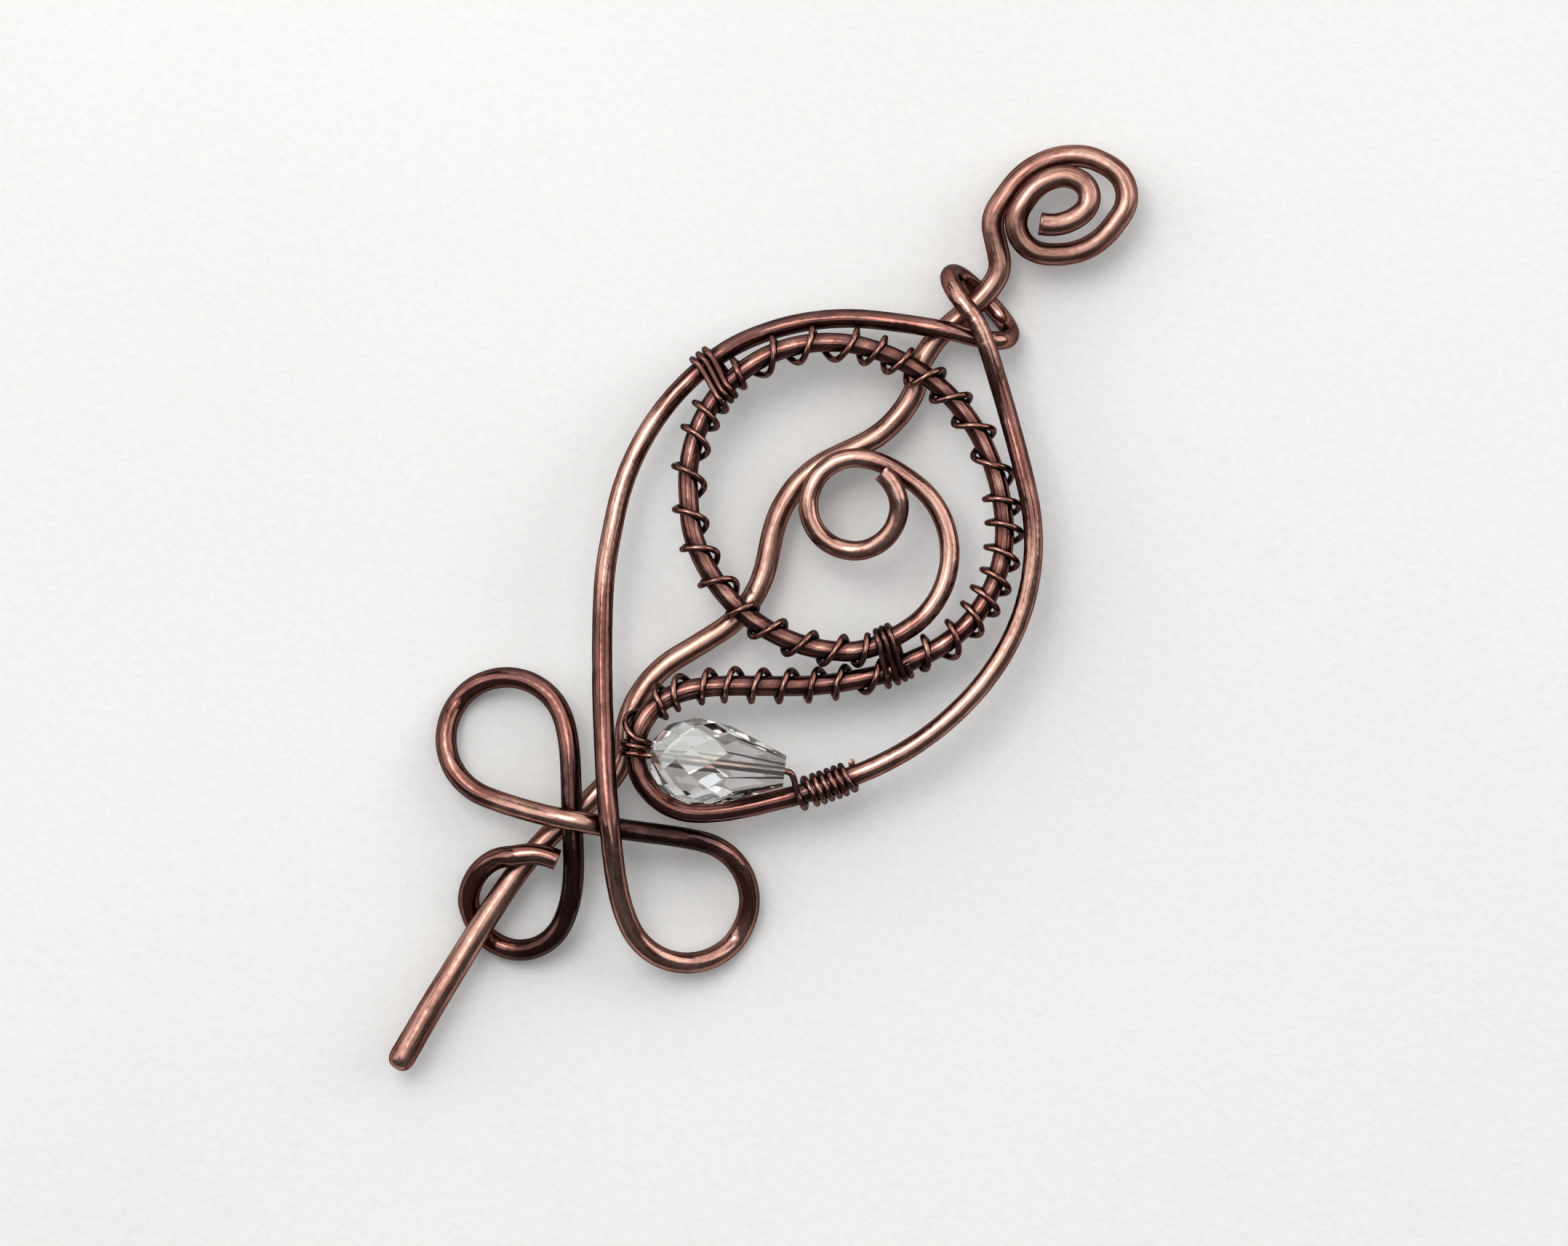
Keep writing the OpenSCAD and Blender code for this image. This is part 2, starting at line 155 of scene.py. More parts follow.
@dataclass(frozen=True)
class Bend:
    """A bend of a wire: centre, radius, direction from the centre and height, each at its start and end.

    A bend of no radius is a mark on a nearly straight stretch: a place, a heading and a height, with the
    climb in place of the lean.
    """

    x: float
    y: float
    r0: float
    r1: float
    a0: float
    a1: float
    z0: float
    z1: float
    lean: float = 0.0
    axis: float = 0.0

    @property
    def is_mark(self) -> bool:
        """Whether the bend is only a mark."""
        return self.r0 == 0

    def across(self, a: float) -> Array:
        """Direction from the bend's centre, in its leaning plane.

        Args:
            a: the angle in that plane.

        Returns:
            The direction.
        """
        ca, sa = math.cos(math.radians(a)), math.sin(math.radians(a))
        cx, sx = math.cos(math.radians(self.axis)), math.sin(math.radians(self.axis))
        cl, sl = math.cos(math.radians(self.lean)), math.sin(math.radians(self.lean))
        return np.array([ca * cx - sa * sx * cl, ca * sx + sa * cx * cl, -sa * sl])

    def place(self, t: float) -> Array:
        """Place on the bend.

        Args:
            t: share of the bend that is behind it.

        Returns:
            The place.
        """
        centre = np.array([self.x, self.y, self.z0 + (self.z1 - self.z0) * t])
        if self.is_mark:
            return centre
        return centre + (self.r0 + (self.r1 - self.r0) * t) * self.across(self.a0 + (self.a1 - self.a0) * t)

    def heading(self, t: float) -> Array:
        """Heading on the bend.

        Args:
            t: share of the bend that is behind it.

        Returns:
            The heading.
        """
        if self.is_mark:
            a, climb = math.radians(self.a0), math.radians(self.lean)
            return np.array([math.cos(a) * math.cos(climb), math.sin(a) * math.cos(climb), math.sin(climb)])
        a = self.a0 + (self.a1 - self.a0) * t
        sweep = math.radians(self.a1 - self.a0)
        rise = np.array([0, 0, self.z1 - self.z0])
        return unit(rise + (self.r1 - self.r0) * self.across(a) + self.r0 * sweep * self.across(a + 90))

    def points(self, spacing: float) -> list[Array]:
        """Points along the bend.

        Args:
            spacing: about how far apart they are.

        Returns:
            The points in order.
        """
        if self.is_mark:
            return [self.place(0)]
        n = math.ceil(abs(math.radians(self.a1 - self.a0)) * self.r0 / spacing)
        return [self.place(i / n) for i in range(n + 1)]


def mark(x: float, y: float, heading: float, z: float = 0.0, climb: float = 0.0) -> list[float]:
    """A row of Bend's values for a mark on a nearly straight stretch."""
    return [x, y, 0, 0, heading, heading, z, z, climb]


def cubic(p: Array, u: Array, q: Array, v: Array, t: Array) -> Array:
    """Points of a cubic between two places.

    Args:
        p: where it starts.
        u: its slope there.
        q: where it ends.
        v: its slope there.
        t: shares of the way, from 0 to 1.

    Returns:
        A row for each share.
    """
    t = t[:, None]
    return ((1 - 3 * t ** 2 + 2 * t ** 3) * p + (3 * t ** 2 - 2 * t ** 3) * q
            + (t - 2 * t ** 2 + t ** 3) * u + (t ** 3 - t ** 2) * v)


def blend_points(p: Array, u: Array, q: Array, v: Array, spacing: float) -> list[Array]:
    """Points of the blend from p, heading u, to q, heading v, without its two ends.

    Args:
        p: where the blend starts.
        u: its heading there.
        q: where it ends.
        v: its heading there.
        spacing: about how far apart the points are.

    Returns:
        The points in order.
    """
    d = float(np.linalg.norm(q - p))
    steps = max(2, math.ceil(d / spacing))
    return list(cubic(p, d * u, q, d * v, np.arange(1, steps) / steps))


class Path:
    """A line through space, with the distance run along it."""

    def __init__(self, points: Array) -> None:
        """Takes the line's points.

        Args:
            points: the points in order.
        """
        self.points = np.asarray(points, float)
        gaps = np.linalg.norm(np.diff(self.points, axis=0), axis=1)
        self.run = np.concatenate([[0.0], np.cumsum(gaps)])

    @classmethod
    def bent(cls, table: Table, spacing: float = 0.2, softness: float = 0.45) -> "Path":
        """A wire's centre line through a table of bends.

        Args:
            table: rows of Bend's values.
            spacing: distance between the line's points.
            softness: length over which one curvature runs into the next.

        Returns:
            The line, evenly spaced.
        """
        bends = [Bend(*row) for row in table]
        points = bends[0].points(spacing)
        for last, bend in zip(bends, bends[1:]):
            points += blend_points(last.place(1), last.heading(1), bend.place(0), bend.heading(0), spacing)
            points += bend.points(spacing)
        return cls(np.array(points)).evened(spacing).softened(softness)

    @classmethod
    def through(cls, points: Sequence[Array], spacing: float) -> "Path":
        """A smooth line through given points.

        Args:
            points: the points in order.
            spacing: distance between the line's own points.

        Returns:
            The line, evenly spaced.
        """
        p = np.asarray(points, float)
        before = np.vstack([2 * p[0] - p[1], p[:-1]])
        after = np.vstack([p[1:], 2 * p[-1] - p[-2]])
        slope = (after - before) / 2
        fine = []
        for i in range(len(p) - 1):
            steps = max(1, math.ceil(float(np.linalg.norm(p[i + 1] - p[i])) / spacing))
            fine.append(cubic(p[i], slope[i], p[i + 1], slope[i + 1], np.arange(steps) / steps))
        return cls(np.vstack([*fine, p[-1:]])).evened(spacing)

    @property
    def length(self) -> float:
        """Length of the line."""
        return float(self.run[-1])

    def at(self, s: Union[float, Array]) -> Array:
        """Place at the distance or distances s."""
        return np.stack([np.interp(s, self.run, self.points[:, k]) for k in range(3)], axis=-1)

    def along(self, s: Union[float, Array]) -> Array:
        """Heading at the distance or distances s."""
        return unit(self.at(np.asarray(s) + HEADING_REACH) - self.at(np.asarray(s) - HEADING_REACH))

    def reach(self, x: float, y: float) -> float:
        """Distance along the line to its place nearest to a point in plan."""
        return float(self.run[np.argmin(np.hypot(self.points[:, 0] - x, self.points[:, 1] - y))])

    def evened(self, spacing: float) -> "Path":
        """The same line with evenly spaced points."""
        count = max(2, round(self.length / spacing) + 1)
        return Path(self.at(np.linspace(0, self.length, count)))

    def softened(self, width: float) -> "Path":
        """Spreads the line's changes of curvature, and keeps its ends.

        Args:
            width: the length that they are spread over.

        Returns:
            The softened line.
        """
        step = self.length / (len(self.points) - 1)
        reach = math.ceil(3 * width / step)
        weights = np.exp(-0.5 * (np.arange(-reach, reach + 1) * step / width) ** 2)
        p = self.points
        padded = np.vstack([2 * p[0] - p[reach:0:-1], p, 2 * p[-1] - p[-2:-reach - 2:-1]])
        soft = [np.convolve(padded[:, k], weights / weights.sum(), mode="valid") for k in range(3)]
        return Path(np.stack(soft, axis=-1))


@dataclass
class Surroundings:
    """The centre lines of every wire in the part, which say where a surface lies in a crevice, where it is
    darkened partly as patina held there and partly as painted shade.

    A line counts where it is nearer than the lookout, and a wire's own line only from own_reach on along
    itself. The shade fades with the distance to the nearest surface.
    """

    lines: dict[str, tuple[Path, float]] = field(default_factory=dict)
    spacing: float = 0.4
    lookout: float = 3.4
    own_reach: float = 9.0
    fade: float = 0.45
    darkest: float = 0.6

    def add(self, name: str, path: Path, radius: float) -> None:
        """Adds a wire's line under the name of its piece."""
        self.lines[name] = (path.evened(self.spacing), radius)

    def shade(self, name: str, places: Array, s: Array) -> Array:
        """How deep each point lies in a crevice between wires, which darkens it partly as patina and partly
        as painted shade.

        Args:
            name: the piece that the points are on.
            places: rings of points on its surface.
            s: distance along its line of each ring.

        Returns:
            An array of rings by sides, from 0 in the open to the darkest in a crevice.
        """
        near = np.full(places.shape[:2], np.inf)
        middles = places.mean(axis=1)
        for other, (path, radius) in self.lines.items():
            tree = kdtree.KDTree(len(path.points))
            for i, point in enumerate(path.points):
                tree.insert(Vector(point), i)
            tree.balance()
            for i, middle in enumerate(middles):
                found = [index for _, index, _ in tree.find_range(Vector(middle), self.lookout)]
                if other == name:
                    found = [k for k in found if abs(path.run[k] - s[i]) > self.own_reach]
                if found:
                    gaps = np.linalg.norm(places[i][:, None, :] - path.points[found][None, :, :], axis=-1)
                    near[i] = np.minimum(near[i], gaps.min(axis=1) - radius)
        return self.darkest * np.exp(-np.maximum(near, 0) / self.fade)


class Socket:
    """An output of a node, which Python's operators carry into further Math and Vector Math nodes."""

    def __init__(self, graph: "Graph", link: bpy.types.NodeSocket) -> None:
        """Wraps a node's own output, link, of a graph."""
        self.graph = graph
        self.link = link

    def join(self, operation: str, first: Given, second: Given) -> "Socket":
        """Adds a Math node, or a Vector Math node where a value is a vector.

        Args:
            operation: what the node does.
            first: its first value.
            second: its second value.

        Returns:
            The node's output.
        """
        vectors = [v for v in (first, second) if isinstance(v, Socket) and v.link.type == "VECTOR"]
        if not vectors:
            return self.graph.node("ShaderNodeMath", {"operation": operation}, {0: first, 1: second})
        spread = [(v,) * 3 if isinstance(v, (int, float)) else v for v in (first, second)]
        return self.graph.node("ShaderNodeVectorMath", {"operation": operation}, {0: spread[0], 1: spread[1]})

    def __add__(self, other: Given) -> "Socket":
        """Sum."""
        return self.join("ADD", self, other)

    def __radd__(self, other: Given) -> "Socket":
        """Sum, from the right."""
        return self.join("ADD", other, self)

    def __sub__(self, other: Given) -> "Socket":
        """Difference."""
        return self.join("SUBTRACT", self, other)

    def __rsub__(self, other: Given) -> "Socket":
        """Difference, from the right."""
        return self.join("SUBTRACT", other, self)

    def __mul__(self, other: Given) -> "Socket":
        """Product."""
        return self.join("MULTIPLY", self, other)

    def __rmul__(self, other: Given) -> "Socket":
        """Product, from the right."""
        return self.join("MULTIPLY", other, self)

    def between(self, low: float, high: float) -> "Socket":
        """A share that rises smoothly from 0 at low to 1 at high."""
        settings = {"interpolation_type": "SMOOTHSTEP"}
        return self.graph.node("ShaderNodeMapRange", settings, {0: self, 1: low, 2: high})


class Graph:
    """A material's nodes."""

    def __init__(self, name: str) -> None:
        """Starts a material with its own shader.

        Args:
            name: the material's name.
        """
        self.material = bpy.data.materials.new(name)
        self.material.use_nodes = True
        self.tree = self.material.node_tree
        self.shader = self.tree.nodes["Principled BSDF"]

    def node(self, kind: str, settings: dict[str, Any], inputs: dict[Union[int, str], Given],
             output: Union[int, str] = 0) -> Socket:
        """Adds any node.

        Args:
            kind: the node's type.
            settings: its own properties, which are set first.
            inputs: values or links of its sockets, by number or name.
            output: the socket that is wanted.

        Returns:
            That output.
        """
        made = self.tree.nodes.new(kind)
        for key, value in settings.items():
            setattr(made, key, value)
        for key, value in inputs.items():
            self.feed(made.inputs[key], value)
        return Socket(self, made.outputs[output])

    def feed(self, socket: bpy.types.NodeSocket, value: Given) -> None:
        """Links a socket to a value, or sets it.

        Args:
            socket: the input.
            value: what goes in.
        """
        if isinstance(value, Socket):
            self.tree.links.new(value.link, socket)
        else:
            socket.default_value = value

    def set(self, **values: Given) -> None:
        """Feeds the shader's own sockets, with _ in place of each space in their names."""
        for key, value in values.items():
            self.feed(self.shader.inputs[key.replace("_", " ")], value)

    def mix(self, share: Given, first: Given, second: Given) -> Socket:
        """Mixes two colours."""
        pair = [(*v, 1.0) if isinstance(v, tuple) else v for v in (first, second)]
        return self.node("ShaderNodeMix", {"data_type": "RGBA"}, {0: share, 6: pair[0], 7: pair[1]}, 2)

    def noise(self, vector: Given, scale: float, detail: float = 4.0, roughness: float = 0.55,
              distortion: float = 0.0) -> Socket:
        """Noise over a vector, spread so that it fills the range from 0 to 1.

        Args:
            vector: where the noise is read.
            scale: how fine it is.
            detail: how many finer layers it has.
            roughness: how strong they are.
            distortion: how far it is warped.

        Returns:
            The noise.
        """
        raw = self.node("ShaderNodeTexNoise", {}, {"Vector": vector, "Scale": scale, "Detail": detail,
                                                   "Roughness": roughness, "Distortion": distortion})
        return self.node("ShaderNodeMapRange", {}, {0: raw, 1: NOISE_RANGE[0], 2: NOISE_RANGE[1]})

    def read(self, name: str, output: str) -> Socket:
        """Reads an attribute of the mesh."""
        return self.node("ShaderNodeAttribute", {"attribute_name": name}, {}, output)

    def bump(self, height: Given, strength: float, distance: float) -> Socket:
        """The normal that a height gives the surface."""
        return self.node("ShaderNodeBump", {}, {"Height": height, "Strength": strength, "Distance": distance})


def finish_name(slot: str) -> str:
    """Name of the material that is made for a slot."""
    return f"{slot}_finish"


@dataclass(frozen=True)
class AntiquedCopper:
    """Copper that was darkened all over and then polished on its highs. The brightness that it reads from the
    mesh also carries a painted highlight on the upper side and painted shade near other wires.

    The three shares of the relief are those of the drawn lines, the scratches and the specks.
    """

    slot: str
    polished: Colour = (0.65, 0.38, 0.305)
    warm: Colour = (0.215, 0.086, 0.066)
    patina: Colour = (0.042, 0.0155, 0.015)
    rim: tuple[float, float, float, float] = (0.17, 0.11, 0.115, 1.0)
    bloom: Colour = (0.11, 0.072, 0.08)
    line_scale: float = 7.0
    warm_from: float = 0.1
    warm_to: float = 0.62
    polish_from: float = 0.5
    polish_to: float = 0.9
    rough_dark: float = 0.14
    rough_worn: float = 0.25
    rough_scratches: float = 0.12
    rough_pits: float = 0.15
    metallic_dark: float = 0.94
    mottled: float = 0.2
    streaks: float = 0.22
    scratched: float = 0.14
    filmed: float = 0.28
    pitted: float = 0.45
    relief: tuple[float, float, float] = (0.6, 0.25, 0.12)
    relief_mm: float = 0.005
    gloss: float = 0.3
    gloss_roughness: float = 0.09
    gloss_refraction: float = 1.45

    def material(self) -> bpy.types.Material:
        """Builds the material from the wire's grain and from its brightness, which carries painted light and
        shade besides patina and rubbing.

        Returns:
            The material.
        """
        g = Graph(finish_name(self.slot))
        grain = g.read("grain", "Vector")
        twine = g.read("twine", "Vector")
        wear_and_light = g.read("wear_and_light", "Fac")
        lines = g.noise(grain * (1.0, 1.0, 0.035), self.line_scale, detail=5.0, roughness=0.7)
        bands = g.noise(grain * (1.0, 1.0, 0.1), self.line_scale * 0.25, detail=3.0, roughness=0.6)
        scratches = g.noise(twine * (1.0, 1.0, 0.1), self.line_scale * 2.0, detail=3.0, roughness=0.6)
        mottle = g.noise(grain * (1.0, 1.0, 0.6), 0.8, detail=5.0, roughness=0.6, distortion=0.3)
        specks = g.noise(grain, 6.5, detail=3.0, roughness=0.6)
        level = wear_and_light + (mottle - 0.5) * self.mottled + (lines + bands - 1) * self.streaks
        level = level + (scratches - 0.5) * self.scratched
        # This mask follows the mesh's brightness, so it carries the painted highlight and painted shade as
        # well as the polishing
        polish_and_light = level.between(self.polish_from, self.polish_to)
        warmth = level.between(self.warm_from, self.warm_to)
        pits = specks.between(0.1, 0.0)
        film = mottle.between(0.4, 0.85) * (1 - polish_and_light) * self.filmed
        base = g.mix(warmth, self.patina, self.warm)
        base = g.mix(polish_and_light, base, self.polished)
        base = g.mix(film, base, self.bloom)
        base = g.mix(pits * self.pitted, base, self.patina)
        rough = self.rough_dark + (self.rough_worn - self.rough_dark) * polish_and_light
        rough = rough + (scratches - 0.5) * self.rough_scratches + pits * self.rough_pits
        height = lines * self.relief[0] + scratches * self.relief[1] + specks * self.relief[2]
        g.set(Base_Color=base, Metallic=self.metallic_dark + (1 - self.metallic_dark) * warmth,
              Roughness=rough, Normal=g.bump(height, 0.5, self.relief_mm * MM), Specular_Tint=self.rim,
              Coat_Weight=(1 - polish_and_light) * self.gloss, Coat_Roughness=self.gloss_roughness,
              Coat_IOR=self.gloss_refraction)
        g.material.diffuse_color = (*self.warm, 1.0)
        return g.material


@dataclass(frozen=True)
class ClearGlass:
    """Clear cut glass with a faint tint and a little surface wear."""

    slot: str
    tint: Colour = (0.995, 0.98, 0.955)
    smeared: Colour = (0.96, 0.935, 0.90)
    rough_clean: float = 0.015
    rough_smeared: float = 0.04
    rough_drilled: float = 0.3
    smear_scale: float = 420.0
    rub_scale: float = 2600.0
    rub_mm: float = 0.01
    refraction: float = 1.56
    coat_nm: float = 60.0
    coat_refraction: float = 2.1

    def material(self) -> bpy.types.Material:
        """Builds the material.

        Returns:
            The material.
        """
        g = Graph(finish_name(self.slot))
        place = g.node("ShaderNodeTexCoord", {}, {}, "Object")
        smear = g.noise(place, self.smear_scale, roughness=0.6)
        rub = g.noise(place * (1.0, 1.0, 0.2), self.rub_scale, detail=2.0, roughness=0.6)
        drilled = g.read("drilled", "Fac")
        rough = self.rough_clean + self.rough_smeared * smear.between(0.5, 0.8) + self.rough_drilled * drilled
        g.set(Base_Color=g.mix(smear.between(0.45, 0.8), self.tint, self.smeared), Roughness=rough,
              Normal=g.bump(rub, 0.05, self.rub_mm * MM), Transmission_Weight=1.0, IOR=self.refraction,
              Thin_Film_Thickness=self.coat_nm, Thin_Film_IOR=self.coat_refraction)
        g.material.diffuse_color = (*self.tint, 0.4)
        return g.material


@dataclass(frozen=True)
class PaleCloth:
    """Off-white tabletop with a fine soft weave."""

    slot: str
    colour: Colour = (0.89, 0.885, 0.875)
    shade: Colour = (0.82, 0.815, 0.805)
    roughness: float = 0.9
    weave_scale: float = 1100.0
    weave_mm: float = 0.08
    cloud_scale: float = 14.0

    def material(self) -> bpy.types.Material:
        """Builds the material.

        Returns:
            The material.
        """
        g = Graph(finish_name(self.slot))
        place = g.node("ShaderNodeTexCoord", {}, {}, "Object")
        weave = g.noise(place, self.weave_scale, detail=3.0, roughness=0.6)
        cloud = g.noise(place, self.cloud_scale, detail=3.0, roughness=0.5)
        g.set(Base_Color=g.mix(weave * 0.5 + cloud * 0.5, self.shade, self.colour), Roughness=self.roughness,
              Normal=g.bump(weave, 0.3, self.weave_mm * MM))
        return g.material


class Finish(Enum):
    """The finishes of the barrette, and the one of the table that it lies on."""

    FRAME = AntiquedCopper("frame_copper")
    STICK = AntiquedCopper("stick_copper", polished=(0.60, 0.36, 0.29), warm=(0.25, 0.112, 0.087),
                           patina=(0.056, 0.021, 0.0185), polish_from=0.4, polish_to=1.0, rough_dark=0.3,
                           rough_worn=0.3, streaks=0.42, gloss=0.0, rim=(0.32, 0.27, 0.28, 1.0))
    THIN = AntiquedCopper("thin_copper", polished=(0.66, 0.375, 0.28), line_scale=12.0)
    GLASS = ClearGlass("clear_bead")
    TABLE = PaleCloth("pale_cloth")

    def material(self) -> bpy.types.Material:
        """The finish's material, made once."""
        return bpy.data.materials.get(finish_name(self.value.slot)) or self.value.material()


def in_metres(points: Sequence[Array]) -> list[list[float]]:
    """Points of the layout as a mesh takes them, in metres in the part's frame."""
    return ((np.asarray(points) + SIZES.shift) * MM).tolist()


def add_object(name: str, data: bpy.types.ID) -> bpy.types.Object:
    """Adds an object to the scene.

    Args:
        name: its name.
        data: its mesh, light or camera.

    Returns:
        The object.
    """
    made = bpy.data.objects.new(name, data)
    bpy.context.scene.collection.objects.link(made)
    return made


def dress(made: bpy.types.Object, finish: Finish, body: str, node: str) -> bpy.types.Object:
    """Gives a piece its finish, and puts it in its node's place.

    Args:
        made: the piece.
        finish: what it is made of.
        body: the body that it moves with.
        node: the node that it stands for.

    Returns:
        The piece.
    """
    made.data.materials.append(finish.material())
    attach(made, body)
    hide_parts(node)
    log.info("%s: %d faces", made.name, len(made.data.polygons))
    return made


class End(Enum):
    """How a wire ends."""

    CUT = "cut square, with its edge eased"
    BURRED = "pinched off, with a raised edge"
    ROUNDED = "filed round"


# Rows from a wire's full section to its end face: share of the radius back from the end, share of the radius
END_ROWS: dict[End, Table] = {
    End.CUT: [[0.09, 1.0], [0.035, 0.97], [0.0, 0.9]],
    End.BURRED: [[0.3, 1.0], [0.12, 1.02], [0.03, 1.06], [0.0, 1.0], [0.06, 0.82]],
    End.ROUNDED: [[1.0, 1.0], [0.7, 0.965], [0.46, 0.88], [0.27, 0.76], [0.13, 0.6], [0.04, 0.42],
                  [0.0, 0.24]],
}


@dataclass(frozen=True)
class Stretch:
    """A stretch along a wire that is brighter or darker than the rest, partly through its patina and
    polishing and partly through painted light and shade.
    """

    start: float
    end: float
    wear_and_light: float
    fade: float = 1.5

    def share(self, s: Array) -> Array:
        """How much of the stretch's brightening or darkening holds at the distances s."""
        rise = smooth_step(self.start - self.fade, self.start + self.fade, s)
        return self.wear_and_light * rise * (1 - smooth_step(self.end - self.fade, self.end + self.fade, s))


@dataclass(frozen=True)
class Nick:
    """A dent at a known place: distance along the wire, angle round it from its top, and its size."""

    s: float
    turn: float
    depth: float
    long: float
    wide: float

    def cut(self, s: Array, angle: Array) -> Array:
        """Works out how deep the dent is.

        Args:
            s: distance along the wire of each ring.
            angle: angle round the wire of each side.

        Returns:
            An array of rings by sides.
        """
        off = (angle - self.turn + math.pi) % (2 * math.pi) - math.pi
        along = self.depth * np.exp(-((s - self.s) / self.long) ** 2)
        return along[:, None] * np.exp(-(off / self.wide) ** 2)


@dataclass(kw_only=True)
class Wire:
    """A round wire, made as one closed mesh with its own grain, and with its brightness from rubbing and
    patina together with painted light and shade.

    A kind of wire says where it runs. The settings are the thin wire's where a kind gives none. Ribs are
    tool marks, given as start, end and spacing along the wire.
    """

    name: str
    node: str
    body: str = "frame"
    finish: Finish = Finish.THIN
    thick: float = SIZES.thin_d
    sides: int = 14
    ends: tuple[End, End] = (End.CUT, End.CUT)
    dents: int
    dent_depth: float = 0.02
    ripple: float = 0.002
    twist: float = 0.4
    stretches: Sequence[Stretch] = ()
    ribs: tuple[float, float, float] = (0.0, 0.0, 1.0)
    rib_depth: float = 0.05
    rib_fade: float = 0.6
    nicks: Sequence[Nick] = ()
    wear_and_light: float = 0.52
    # A painted highlight, partly real rubbing: how much brighter the wire's upper side is made
    top_wear_and_highlight: float = 0.25
    edge_wear: float = 0.35
    edge_reach: float = 0.1
    sharp_edge: float = 38.0
    path: Path = field(init=False)
    radius: Array = field(init=False)

    def __post_init__(self) -> None:
        """Lays the wire's line, and then its radius along the line."""
        self.path = self.route()
        self.radius = self.radii()

    def route(self) -> Path:
        """The wire's centre line, which each kind of wire gives."""
        raise NotImplementedError

    def radii(self) -> Array:
        """The wire's radius along its line."""
        return np.full(len(self.path.points), self.thick / 2)

    def rings(self) -> tuple[Array, Array, Array]:
        """Adds the rows of the two ends to the line.

        Returns:
            The middle, radius and distance along the line of each ring.
        """
        radii, run = self.radius, self.path.run
        back = max(row[0] for row in END_ROWS[self.ends[0]]) * radii[0]
        ahead = max(row[0] for row in END_ROWS[self.ends[1]]) * radii[-1]
        keep = (run > back) & (run < run[-1] - ahead)
        first = END_ROWS[self.ends[0]][::-1]
        last = END_ROWS[self.ends[1]]
        s = np.concatenate([[row[0] * radii[0] for row in first], run[keep],
                            [run[-1] - row[0] * radii[-1] for row in last]])
        share = np.concatenate([[row[1] for row in first], np.ones(keep.sum()), [row[1] for row in last]])
        return self.path.at(s), np.interp(s, run, radii) * share, s

    def relief(self, s: Array, angle: Array, rng: np.random.Generator) -> Array:
        """Lumps and dents of the surface, as lengths out from the round section.

        Args:
            s: distance along the wire of each ring.
            angle: angle round the wire of each side.
            rng: source of the dents' places.

        Returns:
            An array of rings by sides.
        """
        waves = np.zeros((len(s), len(angle)))
        for length, turns in RIPPLES:
            phase = rng.uniform(0, 2 * math.pi, 2)
            waves += (np.sin(2 * math.pi * s / length + phase[0])[:, None]
                      * np.cos(turns * angle + phase[1])[None, :]) * self.ripple
        dents = [Nick(rng.uniform(0, s[-1]), rng.uniform(0, 2 * math.pi),
                      rng.uniform(*DENT_DEPTHS) * self.dent_depth, rng.uniform(*DENT_LENGTHS),
                      rng.uniform(*DENT_WIDTHS)) for _ in range(self.dents)]
        for nick in [*dents, *self.nicks]:
            near = np.abs(s - nick.s) < 3 * nick.long
            waves[near] -= nick.cut(s[near], angle)
        start, end, spacing = self.ribs
        marked = smooth_step(start, start + self.rib_fade, s) * (1 - smooth_step(end - self.rib_fade, end, s))
        waves -= (self.rib_depth * marked * np.maximum(0, np.sin(2 * math.pi * s / spacing)) ** 3)[:, None]
        return waves

    def build(self, around: Surroundings) -> bpy.types.Object:
        """Makes and dresses the wire.

        Args:
            around: the lines of the whole part, which shade the wire's surface where they come close.

        Returns:
            The wire's object.
        """
        rng = np.random.default_rng(SEED + len(self.name))
        points, radii, s = self.rings()
        headings = unit(np.gradient(points, axis=0))
        normals = np.empty_like(points)
        n = square_to(headings[0], NEARLY_UP)
        for i, t in enumerate(headings):
            n = square_to(t, n)
            normals[i] = n
        sideways = np.cross(headings, normals)
        angle = 2 * math.pi * np.arange(self.sides) / self.sides
        out = (np.cos(angle)[None, :, None] * normals[:, None, :]
               + np.sin(angle)[None, :, None] * sideways[:, None, :])
        reach = radii[:, None] + self.relief(s, angle, rng)
        places = points[:, None, :] + reach[:, :, None] * out
        # A painted highlight, partly real rubbing: the upper side of the wire is made brighter
        # Painted shade, partly patina held in the crevices: points near other wires are made darker
        worn_and_lit = self.wear_and_light + self.top_wear_and_highlight * out[:, :, 2] ** 3 - around.shade(self.name, places, s)
        worn_and_lit += (self.edge_wear * np.exp(-np.minimum(s, s[-1] - s) / self.edge_reach))[:, None]
        # Stretches along the wire: partly patina and polishing, partly painted light and shade
        worn_and_lit += sum((stretch.share(s) for stretch in self.stretches), np.zeros(len(s)))[:, None]
        turned = angle[None, :] + self.twist * s[:, None]
        length = np.broadcast_to(s[:, None], reach.shape)
        grain = np.stack([reach * np.cos(angle), reach * np.sin(angle), length], -1)
        twine = np.stack([reach * np.cos(turned), reach * np.sin(turned), length], -1)
        made = add_object(self.name, self.mesh(places, grain, twine, worn_and_lit))
        return dress(made, self.finish, self.body, self.node)

